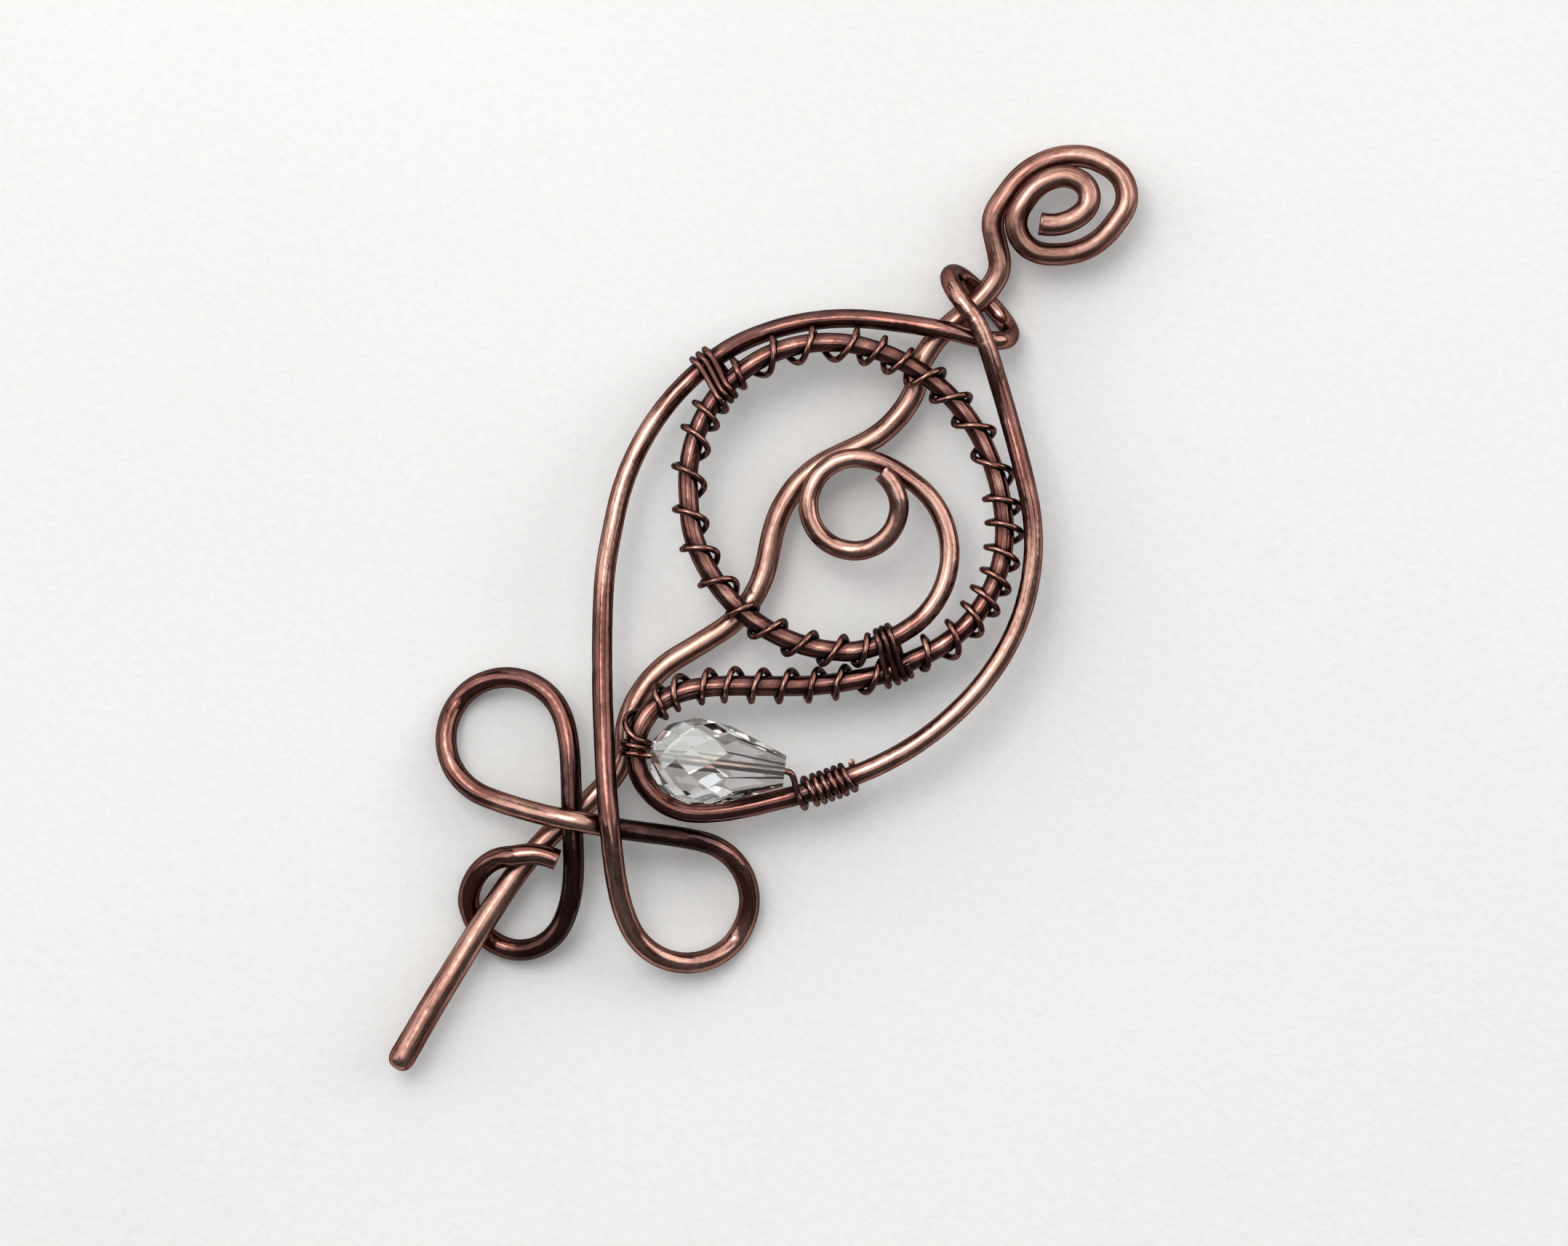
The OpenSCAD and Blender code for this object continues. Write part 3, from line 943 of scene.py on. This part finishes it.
    def mesh(self, places: Array, grain: Array, twine: Array, worn_and_lit: Array) -> bpy.types.Mesh:
        """Writes the surface as a closed mesh with the attributes that its finish reads.

        Args:
            places: rings of points, in millimetres of the layout.
            grain: the same points with the wire laid straight.
            twine: the same with the wire twisted as well.
            worn_and_lit: how bright each point is left by rubbing, patina, the painted highlight and the
                painted shade.

        Returns:
            The mesh, in metres in the part's frame.
        """
        rings, sides = places.shape[:2]
        count = rings * sides
        ring, side = np.meshgrid(np.arange(rings - 1), np.arange(sides), indexing="ij")
        a = (ring * sides + side).ravel()
        b = (ring * sides + (side + 1) % sides).ravel()
        quads = np.stack([a, a + sides, b + sides, b], -1).tolist()
        caps = [(count, k, (k + 1) % sides) for k in range(sides)]
        last = count - sides
        caps += [(count + 1, last + (k + 1) % sides, last + k) for k in range(sides)]

        def with_centres(values: Array) -> Array:
            """The values of all points, and then those of the two end faces' middles."""
            flat = values.reshape(count, -1)
            return np.vstack([flat, flat[:sides].mean(0), flat[last:].mean(0)])

        mesh = bpy.data.meshes.new(self.name)
        mesh.from_pydata(in_metres(with_centres(places)), [], quads + caps)
        mesh.polygons.foreach_set("use_smooth", np.ones(len(mesh.polygons), bool))
        for name, kind, values in (("grain", "FLOAT_VECTOR", grain), ("twine", "FLOAT_VECTOR", twine),
                                   ("wear_and_light", "FLOAT", worn_and_lit[:, :, None])):
            attribute = mesh.attributes.new(name, kind, "POINT")
            key = "value" if kind == "FLOAT" else "vector"
            attribute.data.foreach_set(key, with_centres(values).astype(np.float32).ravel())
        mesh.set_sharp_from_angle(angle=math.radians(self.sharp_edge))
        mesh.update()
        return mesh


@dataclass(kw_only=True)
class FrameWire(Wire):
    """The heavy wire, bent from end to end into the whole frame."""

    name: str = "heavy_frame_wire"
    node: str = "frame_wire"
    finish: Finish = Finish.FRAME
    thick: float = SIZES.frame_wire_d
    sides: int = 28
    ends: tuple[End, End] = (End.CUT, End.BURRED)
    dents: int = 90
    dent_depth: float = 0.025
    ripple: float = 0.004
    twist: float = 0.9
    wear_and_light: float = 0.38
    # Tool marks across the front of the eye
    ribs: tuple[float, float, float] = (225.0, 232.0, 0.48)
    small_loop: Table = (
        [-1.2, -50.2, 5.65, 5.90, 103, 142, SIZES.over_z + 0.1, SIZES.over_z],
        [-3.2, -50.6, 4.85, 4.75, 150, 214, -1.9, SIZES.under_z + 0.5],
        [-3.2, -50.6, 4.5, 4.42, 232, 266, SIZES.under_z, SIZES.under_z],
        [-3.2, -50.6, 4.42, 4.85, 286, 374, SIZES.under_z + 0.35, -3.0],
    )
    clover: Table = (
        mark(-3.6, -40.75, 128.5, SIZES.over_z, 4),
        [-13.4, -38.1, 5.85, 6.0, 52, 170, -1.3, SIZES.under_z + 0.12],
        [-13.4, -38.1, 6.0, 6.0, 190, 286, SIZES.under_z + 0.12, -2.1],
        mark(-3.6, -40.7, 26.5, SIZES.second_z, 4),
        mark(0.1, -38.95, 26.5, SIZES.second_z - SIZES.second_fall, -16),
        [10.1, -40.5, 5.95, 5.95, 112, 8, -1.3, SIZES.under_z + 0.12],
        [10.1, -40.5, 6.05, 6.15, -12, -120, SIZES.under_z + 0.12, -0.9],
        mark(0.0, -39.3, 132, SIZES.third_z, 6),
    )
    left_side: Table = (
        mark(-6.75, -31.2, 128.5, 1.0, -5),
        mark(-14.1, -21.1, 123.5, 0.2, -1),
        [5.0, -3.3, 25.15, 24.7, 206, 162, 0, SIZES.left_low + 0.65],
        [5.0, -3.3, 24.3, 23.35, 150, 127, SIZES.left_low, SIZES.left_low + 0.3],
        mark(-2.3, 18.9, 26, SIZES.over_z + 0.3, 2),
        mark(2.1, 20.85, 30, SIZES.over_z - 0.1, -10),
    )
    right_side: Table = (
        mark(4.4, 18.15, -36.8, 1.1, -14),
        [-0.2, -6.0, 21.65, 21.05, 50, 4, 1.35, 0.6],
        [-8.2, -6.2, 28.95, 28.4, -3, -31, 0.5, 0],
        mark(12.3, -26.3, -130),
        [2.0, -28.2, 6.1, 5.7, -54, -178, 0, 0],
        [2.0, -28.3, 5.7, 5.75, -188, -211, 0, 0],
    )
    tail: Table = (
        mark(2.2, -20.4, 36),
        mark(8.0, -16.1, 41, -0.3),
        mark(12.1, -11.95, 48, -0.3),
    )
    ring: Table = (
        [3.2, -0.8, 13.35, 12.9, -34, 38, -0.2, 0],
        [-0.8, -3.8, 17.85, 18.15, 57, 112, 0, 0],
        [-2.9, 0.8, 13.15, 13.8, 136, 222, 0, 0],
        [-1.0, 1.05, 15.65, 15.95, 234, 305, 0, 0.4],
    )
    swirl: Table = (
        [3.7, -3.15, 8.85, 8.35, -24, 88, 0.3, 0],
        [0.6, -0.1, 4.75, 4.5, 116, 180, 0, 0],
        [0.6, -0.1, 4.45, 4.3, 190, 290, 0, 0],
        [0.6, -0.1, 4.35, 4.4, 312, 396, 0.25, 1.75],
        [0.6, -0.1, 4.35, 4.2, 408, 447, 1.95, 1.95],
    )
    # Brighter and darker stretches along the wire: partly patina and polishing, partly painted light and
    # shade
    stretches: Sequence[Stretch] = (
        Stretch(20, 43, -0.30), Stretch(44, 72, -0.08), Stretch(72, 83, 0.22), Stretch(85, 95, -0.35, 0.8),
        Stretch(104, 130, 0.18), Stretch(132, 151, -0.15), Stretch(154, 172, 0.17), Stretch(180, 200, -0.16),
        Stretch(203, 232, 0.16), Stretch(236, 246, -0.12, 0.6), Stretch(250, 284, 0.17),
        Stretch(290, 305, -0.08), Stretch(338, 434, 0.04), Stretch(436, 486, 0.18),
    )
    # The wire was drawn a little thicker towards the end that the clover loops are bent from
    even_y: float = -13.0
    swell: float = 0.0019
    eye_rise: float = 0.6

    def eye(self) -> Table:
        """The oval eye, which stands almost upright across the stick.

        Returns:
            Its rows of bends, flatter below than above.
        """
        low, high, tilt = SIZES.eye_low_r, SIZES.eye_high_r, (SIZES.eye_lean, SIZES.eye_turn)
        low_z = SIZES.under_z + low * math.sin(math.radians(SIZES.eye_lean))
        high_z = low_z + self.eye_rise
        return [[0.37, 22.72, low, low, 30, 90, low_z, low_z, *tilt],
                [-2.18, 23.24, low, low, 90, 170, low_z, low_z, *tilt],
                [-1.23, 22.87, high, high, 190, 262, high_z, high_z, *tilt]]

    def route(self) -> Path:
        """The wire's centre line, from the cut end of its hook."""
        return Path.bent([*self.small_loop, *self.clover, *self.left_side, *self.eye(), *self.right_side,
                          *self.tail, *self.ring, *self.swirl])

    def radii(self) -> Array:
        """The wire's radius along its line."""
        return self.thick / 2 - self.swell * (self.path.points[:, 1] - self.even_y)


@dataclass(kw_only=True)
class HairStick(Wire):
    """The loose wavy stick with its spiral head."""

    name: str = "wavy_hair_stick"
    node: str = "hair_stick"
    body: str = "stick"
    finish: Finish = Finish.STICK
    thick: float = SIZES.stick_d
    sides: int = 32
    ends: tuple[End, End] = (End.BURRED, End.ROUNDED)
    dents: int = 35
    ripple: float = 0.004
    twist: float = 0.9
    wear_and_light: float = 0.46
    # A painted highlight on the stick's upper side, partly real rubbing
    top_wear_and_highlight: float = 0.24
    # Columns after the first six: height above the shank at the bend's start and end
    head: Table = (
        [-3.0, 36.4, 4.3, 4.88, 299, 357, 3.0, 2.9],
        [0.0, 36.4, 1.9, 1.95, 10, 110, 2.8, 2.65],
        [1.0, 34.3, 4.42, 4.45, 126, 184, 2.6, 2.4],
        [-0.5, 33.2, 2.95, 3.1, 198, 292, 2.35, 1.8],
        [-1.5, 36.8, 6.65, 6.45, 304, 362, 1.7, 1.2],
        [1.7, 37.9, 3.3, 3.35, 10, 102, 1.1, 0.9],
        [2.4, 34.0, 7.5, 7.6, 116, 184, 0.8, 0.6],
        [-1.9, 31.6, 3.2, 3.05, 196, 226, 0.5, 0.4],
        [-3.9, 25.6, 2.8, 2.72, 50, 8, 0.2, 0],
    )
    shank: Table = (
        [9.0, 17.0, 11.5, 11.5, 166, 196, 0, 0],
        [-12.0, 10.3, 11.0, 11.0, 14, -16, 0, 0],
        [5.4, -2.6, 10.5, 10.5, 156, 200, 0, 0],
        [-12.6, -13.8, 10.5, 10.5, 23, -22, 0, 0],
        [5.4, -26.2, 10.9, 10.9, 155, 204, 0, 0],
        [-10.4, -35.0, 7.5, 7.5, 22, -8, 0, 0],
        mark(-4.2, -41.8, -104),
        mark(-4.95, -48.5, -90),
        mark(-4.3, -60.0, -86),
        mark(-3.3, -70.4, -84),
    )
    swell_length: float = 24.0
    # Brighter and darker stretches along the stick: partly patina and polishing, partly painted light and
    # shade
    stretches: Sequence[Stretch] = (Stretch(0, 62, 0.02, 4.0), Stretch(66, 146, 0.08, 3.0))
    # The notch in the head's cut end, pits near the eye, and a nick below the ring
    nicks: Sequence[Nick] = (Nick(0.05, 3.9, 0.25, 0.3, 0.35), Nick(74.0, 0.2, 0.05, 0.22, 0.3),
                             Nick(75.4, -0.4, 0.05, 0.18, 0.25), Nick(96.2, 0.3, 0.1, 0.14, 0.7))

    def route(self) -> Path:
        """The stick's centre line, from the cut end at the middle of its head."""
        z = SIZES.stick_z
        return Path.bent([[*row[:6], row[6] + z, row[7] + z] for row in [*self.head, *self.shank]])

    def radii(self) -> Array:
        """The stick's radius along its line, with the swelling towards the tip."""
        share = np.clip(1 - (self.path.length - self.path.run) / self.swell_length, 0, 1)
        return self.thick / 2 + (SIZES.stick_tip_d - self.thick) / 2 * share


@dataclass(frozen=True)
class Lay:
    """How the strands of some turns lie: where in a turn the wire runs on, and how far it stands off."""

    turns: int
    place: float
    gather: float
    left_bulge: float
    right_bulge: float


@dataclass
class Winding:
    """Thin wire wound round the frame wire, whose turns run from one top strand to the next.

    The way is along the frame wire, and the hand is +1 for a right-handed winding.
    """

    core: Path
    hand: int = -1
    way: int = -1
    steps: int = 16
    slack: float = 0.02
    tight: float = 0.66
    jitter: tuple[float, float] = (0.7, 1.3)

    def wound(self, s: float, q: float, over: Union[float, Array] = 0.0, stand: float = 0.0) -> Array:
        """A point on the winding.

        Args:
            s: its distance along the frame wire.
            q: share of a turn since the strand on top.
            over: what moves it onto a neighbour.
            stand: how far it stands off.

        Returns:
            The point.
        """
        t = self.core.along(s)
        b = square_to(t, UP)
        reach = SIZES.frame_wire_d / 2 + self.slack + SIZES.thin_d / 2 + stand
        a = math.radians(90 + 360 * self.way * self.hand * q)
        return self.core.at(s) + over + reach * (math.cos(a) * np.cross(b, t) + math.sin(a) * b)

    def turns(self, start: float, gaps: Sequence[float], lays: Sequence[Lay],
              rng: np.random.Generator) -> list[Array]:
        """Points of plain turns round the one wire.

        Args:
            start: distance of the first top strand.
            gaps: distance from each top strand to the next.
            lays: how the strands lie, turn after turn.
            rng: source of the small differences between turns.

        Returns:
            The points, without the last top strand.
        """
        plan = [lay for lay in lays for _ in range(lay.turns)]
        made = []
        s = start
        for gap, lay in zip(gaps, plan):
            jitter = rng.uniform(*self.jitter, 2)
            for k in range(self.steps):
                q = k / self.steps
                swing = math.sin(2 * math.pi * (q - lay.place)) + math.sin(2 * math.pi * lay.place)
                gone = q + lay.gather * swing / (2 * math.pi)
                right = max(0.0, math.sin(2 * math.pi * q)) ** 2 * lay.right_bulge * jitter[0]
                left = max(0.0, -math.sin(2 * math.pi * q)) ** 2 * lay.left_bulge * jitter[1]
                made.append(self.wound(s + self.way * gap * gone, q, stand=right + left))
            s += self.way * gap
        return made

    def joined(self, start: float, gaps: Sequence[float], side: float, side_way: int,
               out_first: bool) -> list[Array]:
        """Points of turns round two wires, straight over from one to the other on top, and back below.

        Args:
            start: distance of the first top strand.
            gaps: distance from each top strand to the next.
            side: distance along the frame wire of the neighbour at the start.
            side_way: the way that the neighbour runs beside the winding.
            out_first: whether the wire goes out to the neighbour as it starts, or comes back from it.

        Returns:
            The points.
        """
        # Eighths of a turn, each with 1 where the wire is at the neighbour
        if out_first:
            shape = [(0, 0)] + [(k, 1) for k in range(5)] + [(k, 0) for k in range(4, 8)]
        else:
            shape = [(k, 0) for k in range(5)] + [(k, 1) for k in range(4, 9)]
        made = []
        s = start
        for gap in gaps:
            for k, share in shape:
                q = k / 8
                here = s + self.way * q * (min(gap, self.tight) if share else gap)
                away = self.core.at(side + side_way * (here - start)) - self.core.at(here)
                made.append(self.wound(here, q, share * away))
            s += self.way * gap
        return made

    def part(self, start: float, gap: float, first: float, last: float) -> list[Array]:
        """Points of a turn from the share first to the share last, counted from the top strand at start."""
        shares = np.linspace(first, last, math.ceil((last - first) * self.steps) + 1)
        return [self.wound(start + self.way * gap * q, q) for q in shares]


@dataclass(kw_only=True)
class RingWrap(Wire):
    """Open coil of thin wire round the ring, with the turns that bind the ring to the outline."""

    core: Path
    name: str = "ring_winding"
    node: str = "ring_wrap"
    dents: int = 160
    left_turns: Sequence[float] = (3.0, 3.3, 3.5, 3.4, 3.7, 3.6, 3.5, 4.0, 3.7, 2.4, 1.85)
    pair_turns: Sequence[float] = (0.7, 0.7, 1.55)
    right_turns: Sequence[float] = (4.0, 3.6, 4.1, 2.6, 2.6, 2.7, 3.2, 3.5, 4.3, 3.4, 2.4, 2.7, 2.5, 2.2, 2.1,
                                    2.7, 3.2)
    left_lays: Sequence[Lay] = (Lay(4, 0.05, 0.3, 0.12, 0.05), Lay(7, 0.72, 0.75, 0.22, 0.1))
    right_lays: Sequence[Lay] = (Lay(6, 0.74, 0.85, 0.3, 0.08), Lay(3, 0.95, 0.5, 0.15, 0.12),
                                 Lay(8, 0.28, 0.8, 0.32, 0.28))
    start_at: tuple[float, float] = (9.5, -10.5)
    pair_side: tuple[float, float] = (-19.45, 2.2)
    lead: tuple[float, float] = (-0.2, -0.1)
    tail_share: float = 0.35
    spacing: float = 0.13

    def route(self) -> Path:
        """Lays the wire from the ring's lower right round to its end beside the bead's tail.

        Returns:
            Its centre line.
        """
        rng = np.random.default_rng(SEED)
        wind = Winding(self.core)
        start = self.core.reach(*self.start_at)
        pair = start - sum(self.left_turns)
        right = pair - sum(self.pair_turns)
        last = right - sum(self.right_turns)
        points = wind.part(start, self.left_turns[0], *self.lead)
        points += wind.turns(start, self.left_turns, self.left_lays, rng)
        points += wind.joined(pair, self.pair_turns, self.core.reach(*self.pair_side), -1, True)
        points += wind.turns(right, self.right_turns, self.right_lays, rng)
        points += wind.part(last, self.right_turns[-1], 0, self.tail_share)
        return Path.through(points, self.spacing)


@dataclass(kw_only=True)
class LowerBinding(Wire):
    """Thin wire that binds the ring's two ends together beside the swirl."""

    core: Path
    name: str = "lower_binding_wire"
    node: str = "lower_binding"
    dents: int = 20
    dent_depth: float = 0.03
    ripple: float = 0.003
    pair_turns: Sequence[float] = (0.66, 0.66, 0.9)
    start_at: tuple[float, float] = (13.95, -9.45)
    side_at: tuple[float, float] = (11.5, -7.85)
    tail_share: float = 0.4
    spacing: float = 0.1

    def route(self) -> Path:
        """Lays the wire.

        Returns:
            Its centre line.
        """
        wind = Winding(self.core)
        start = self.core.reach(*self.start_at)
        points = wind.joined(start, self.pair_turns, self.core.reach(*self.side_at), 1, False)
        points += wind.part(start - sum(self.pair_turns), self.pair_turns[0], 0, self.tail_share)
        return Path.through(points, self.spacing)


@dataclass
class CrystalBead:
    """Faceted drop bead: rows of corners, each but the last turned half a facet from the one before."""

    foot: tuple[float, float, float] = (-1.0, -31.1, 2.1)
    direction: float = 29.4
    rows: Sequence[float] = (0, 0.8, 1.35, 2.4, 3.8, 5.75, 7.25, 12.9)
    table_r: float = 1.6
    shoulder_r: float = 2.72
    facets: int = 10
    hole_r: float = 0.45
    hole_sides: int = 20

    @property
    def axis(self) -> Array:
        """Direction of the hole, from the wide end to the narrow one."""
        a = math.radians(self.direction)
        return np.array([math.cos(a), math.sin(a), 0])

    def radii(self) -> list[float]:
        """Works out the rows' radii so that the kite between three rows is flat.

        Returns:
            The radius of each row of corners.
        """
        c = math.cos(math.pi / self.facets)
        made = [self.table_r, self.shoulder_r]
        for k in range(2, len(self.rows)):
            before, last = made[k - 2], made[k - 1] * c
            rise = (self.rows[k] - self.rows[k - 2]) / (self.rows[k - 1] - self.rows[k - 2])
            made.append(before + (last - before) * rise)
        made[-1] /= c
        return made

    def corners(self, along: float, radius: float, count: int, turn: float = 0.0) -> list[Array]:
        """Corners of a polygon round the hole.

        Args:
            along: distance from the wide end.
            radius: distance of the corners from the hole's middle.
            count: how many there are.
            turn: share of a corner's step that they are turned by.

        Returns:
            The corners in order.
        """
        centre = np.array(self.foot) + along * self.axis
        angles = [(j + turn) * 2 * math.pi / count for j in range(count)]
        return [centre + radius * (math.cos(a) * np.cross(UP, self.axis) + math.sin(a) * UP) for a in angles]

    def end_face(self, rim: int, hole: int, far: bool) -> list[tuple[int, ...]]:
        """Faces between a row of corners and the hole's edge.

        Args:
            rim: number of the row's first corner.
            hole: number of the hole's first point.
            far: whether it is the narrow end.

        Returns:
            The faces, each facing out.
        """
        n, h = self.facets, self.hole_sides
        made = []
        for j in range(n):
            edge = [hole + (j * h // n + i) % h for i in range(h // n + 1)]
            face = [rim + j, *edge, rim + (j + 1) % n]
            made.append(tuple(face[::-1] if far else face))
        return made

    def build(self) -> bpy.types.Object:
        """Makes and dresses the bead, drilled along its length.

        Returns:
            The bead.
        """
        n, h, last = self.facets, self.hole_sides, len(self.rows) - 1
        points = []
        for k, (along, radius) in enumerate(zip(self.rows, self.radii())):
            points += self.corners(along, radius, n, min(k, last - 1) / 2)
        hole = len(points)
        points += self.corners(0, self.hole_r, h) + self.corners(self.rows[-1], self.hole_r, h)
        faces = [(hole + j, hole + (j + 1) % h, hole + (j + 1) % h + h, hole + j + h) for j in range(h)]
        for a in range(last * n):
            b = a + 1 if (a + 1) % n else a + 1 - n
            faces += [(a, b, a + n), (b, b + n, a + n)] if a < (last - 1) * n else [(a, b, b + n, a + n)]
        faces += self.end_face(0, hole, False) + self.end_face(last * n, hole + h, True)
        mesh = bpy.data.meshes.new("drop_bead")
        mesh.from_pydata(in_metres(points), [], faces)
        drilled = mesh.attributes.new("drilled", "FLOAT", "FACE")
        drilled.data.foreach_set("value", [float(i < h) for i in range(len(faces))])
        return dress(add_object("faceted_drop_bead", mesh), Finish.GLASS, "frame", "crystal_bead")


@dataclass(kw_only=True)
class BeadWire(Wire):
    """Thin wire down the ring's tail, round the cradle, through the bead, and in a close coil."""

    core: Path
    bead: CrystalBead
    name: str = "bead_and_tail_wire"
    node: str = "bead_wire"
    dents: int = 120
    tail_turns: Sequence[float] = (3.9, 2.5, 2.8, 2.7, 2.7, 2.3, 2.9, 1.6, 4.2, 0.74, 0.72)
    coil_turns: Sequence[float] = (1.35, 0.75, 0.72, 0.78, 0.71, 0.72)
    tail_lays: Sequence[Lay] = (Lay(1, 0.1, 0.3, 0.1, 0.1), Lay(8, 0.7, 0.7, 0.25, 0.15),
                                Lay(2, 0.5, 0.0, 0.0, 0.0))
    coil_lays: Sequence[Lay] = (Lay(6, 0.5, 0.0, 0.03, 0.05),)
    tail_at: tuple[float, float] = (12.1, -12.2)
    coil_at: tuple[float, float] = (12.7, -25.9)
    lead: tuple[float, float] = (-0.2, -0.1)
    coil_tail: float = 0.75
    hole_margin: float = 0.2
    bend_spacing: float = 0.5
    spacing: float = 0.12
    # Dark stretches inside the bead, counted from its wide end until the wire is laid
    stretches: Sequence[Stretch] = (Stretch(0, 4, -0.3, 0.5), Stretch(9, 12.9, -0.45))

    def __post_init__(self) -> None:
        """Lays the wire, and moves its stretches to the bead."""
        super().__post_init__()
        wide_end = self.path.reach(*self.bead.foot[:2])
        self.stretches = [replace(part, start=part.start + wide_end, end=part.end + wide_end)
                          for part in self.stretches]

    def route(self) -> Path:
        """Lays the wire from the upper end of the tail to its cut end on the outline.

        Returns:
            Its centre line.
        """
        rng = np.random.default_rng(SEED + 1)
        wind = Winding(self.core)
        start = self.core.reach(*self.tail_at)
        tail_end = start - sum(self.tail_turns)
        tail = wind.part(start, self.tail_turns[0], *self.lead)
        tail += wind.turns(start, self.tail_turns, self.tail_lays, rng)
        tail.append(wind.wound(tail_end, 0))
        coiling = Winding(self.core, hand=1)
        coil_start = self.core.reach(*self.coil_at)
        coil = coiling.turns(coil_start, self.coil_turns, self.coil_lays, rng)
        coil += coiling.part(coil_start - sum(self.coil_turns), self.coil_turns[0], 0, self.coil_tail)
        leave = unit(wind.wound(tail_end - 0.01, 1 / 360) - tail[-1])
        land = unit(coil[1] - coil[0])
        foot, axis = np.array(self.bead.foot), self.bead.axis
        into = foot - self.hole_margin * axis
        out = foot + (self.bead.rows[-1] + self.hole_margin) * axis
        points = tail + blend_points(tail[-1], leave, into, axis, self.bend_spacing) + [into]
        points += [into + t * (out - into) for t in np.linspace(0.1, 0.9, 9)] + [out]
        points += blend_points(out, axis, coil[0], land, self.bend_spacing) + coil
        return Path.through(points, self.spacing)


@dataclass(frozen=True)
class Lamp:
    """A soft square light: its direction as the camera sees it, right, up and towards it, and its light."""

    name: str
    direction: tuple[float, float, float]
    distance: float
    size: float
    watts: float
    colour: Colour = (1.0, 1.0, 1.0)


@dataclass
class Studio:
    """The pale table, the soft lights and the camera, which looks straight down as the photograph does."""

    view_width: float = 0.15183
    aim: tuple[float, float, float] = (0.001335, 0.00084, 0.006365)
    turn: float = 36.0
    distance: float = 0.85
    sensor: float = 36.0
    far: float = 10.0
    table_size: float = 1.6
    sky: Colour = (0.95, 0.96, 1.0)
    sky_strength: float = 0.11
    lamps: Sequence[Lamp] = (
        Lamp("key", (-0.45, 0.6, 1.6), 1.0, 0.45, 3.2, (1.0, 0.985, 0.96)),
        Lamp("overhead", (0.05, 0.12, 1.0), 1.3, 1.1, 4.1),
        Lamp("window", (0.0, 1.0, 0.6), 1.35, 1.42, 8.4, (1.0, 0.99, 0.97)),
        Lamp("left panel", (-1.0, 0.35, 0.7), 1.35, 1.2, 6.1),
        Lamp("right panel", (1.0, 0.45, 0.65), 1.35, 1.05, 6.8),
    )

    def camera(self) -> None:
        """Sets up the camera."""
        data = bpy.data.cameras.new("camera")
        data.sensor_width = self.sensor
        data.sensor_fit = "HORIZONTAL"
        data.lens = self.sensor * self.distance / self.view_width
        data.clip_end = self.far
        made = add_object("camera", data)
        made.location = Vector(self.aim) + self.distance * Vector(UP)
        made.rotation_euler = (0, 0, math.radians(self.turn))
        bpy.context.scene.camera = made

    def light(self, lamp: Lamp) -> None:
        """Adds a light that faces the part.

        Args:
            lamp: the light.
        """
        data = bpy.data.lights.new(lamp.name, "AREA")
        data.size = lamp.size
        data.energy = lamp.watts
        data.color = lamp.colour
        towards = (Matrix.Rotation(math.radians(self.turn), 3, "Z") @ Vector(lamp.direction)).normalized()
        made = add_object(lamp.name, data)
        made.location = Vector(self.aim) + towards * lamp.distance
        made.rotation_euler = (-towards).to_track_quat("-Z", "Y").to_euler()

    def table(self) -> None:
        """Makes the table top."""
        half = self.table_size / 2
        mesh = bpy.data.meshes.new("table_top")
        corners = [(-half, -half, 0), (half, -half, 0), (half, half, 0), (-half, half, 0)]
        mesh.from_pydata(corners, [], [(0, 1, 2, 3)])
        mesh.materials.append(Finish.TABLE.material())
        add_object("table_top", mesh)

    def world(self) -> None:
        """Sets the light that comes from all round."""
        made = bpy.data.worlds.new("studio")
        made.use_nodes = True
        background = made.node_tree.nodes["Background"]
        background.inputs["Color"].default_value = (*self.sky, 1.0)
        background.inputs["Strength"].default_value = self.sky_strength
        bpy.context.scene.world = made

    def build(self) -> None:
        """Sets up the whole studio."""
        self.camera()
        self.table()
        for lamp in self.lamps:
            self.light(lamp)
        self.world()
        bpy.context.scene.view_settings.view_transform = "Standard"


def main() -> None:
    """Builds the studio and the pieces in order."""
    logging.basicConfig(level=logging.INFO, format="%(name)s: %(message)s")
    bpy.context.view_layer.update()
    Studio().build()
    bead, frame_wire = CrystalBead(), FrameWire()
    core = frame_wire.path
    wires = [frame_wire, HairStick(), RingWrap(core=core), LowerBinding(core=core),
             BeadWire(core=core, bead=bead)]
    around = Surroundings()
    for wire in wires:
        around.add(wire.name, wire.path, wire.thick / 2)
        log.info("%s: %.1f mm long", wire.name, wire.path.length)
    for wire in wires:
        wire.build(around)
    bead.build()
    bpy.context.view_layer.update()


if __name__ == "__main__":
    main()
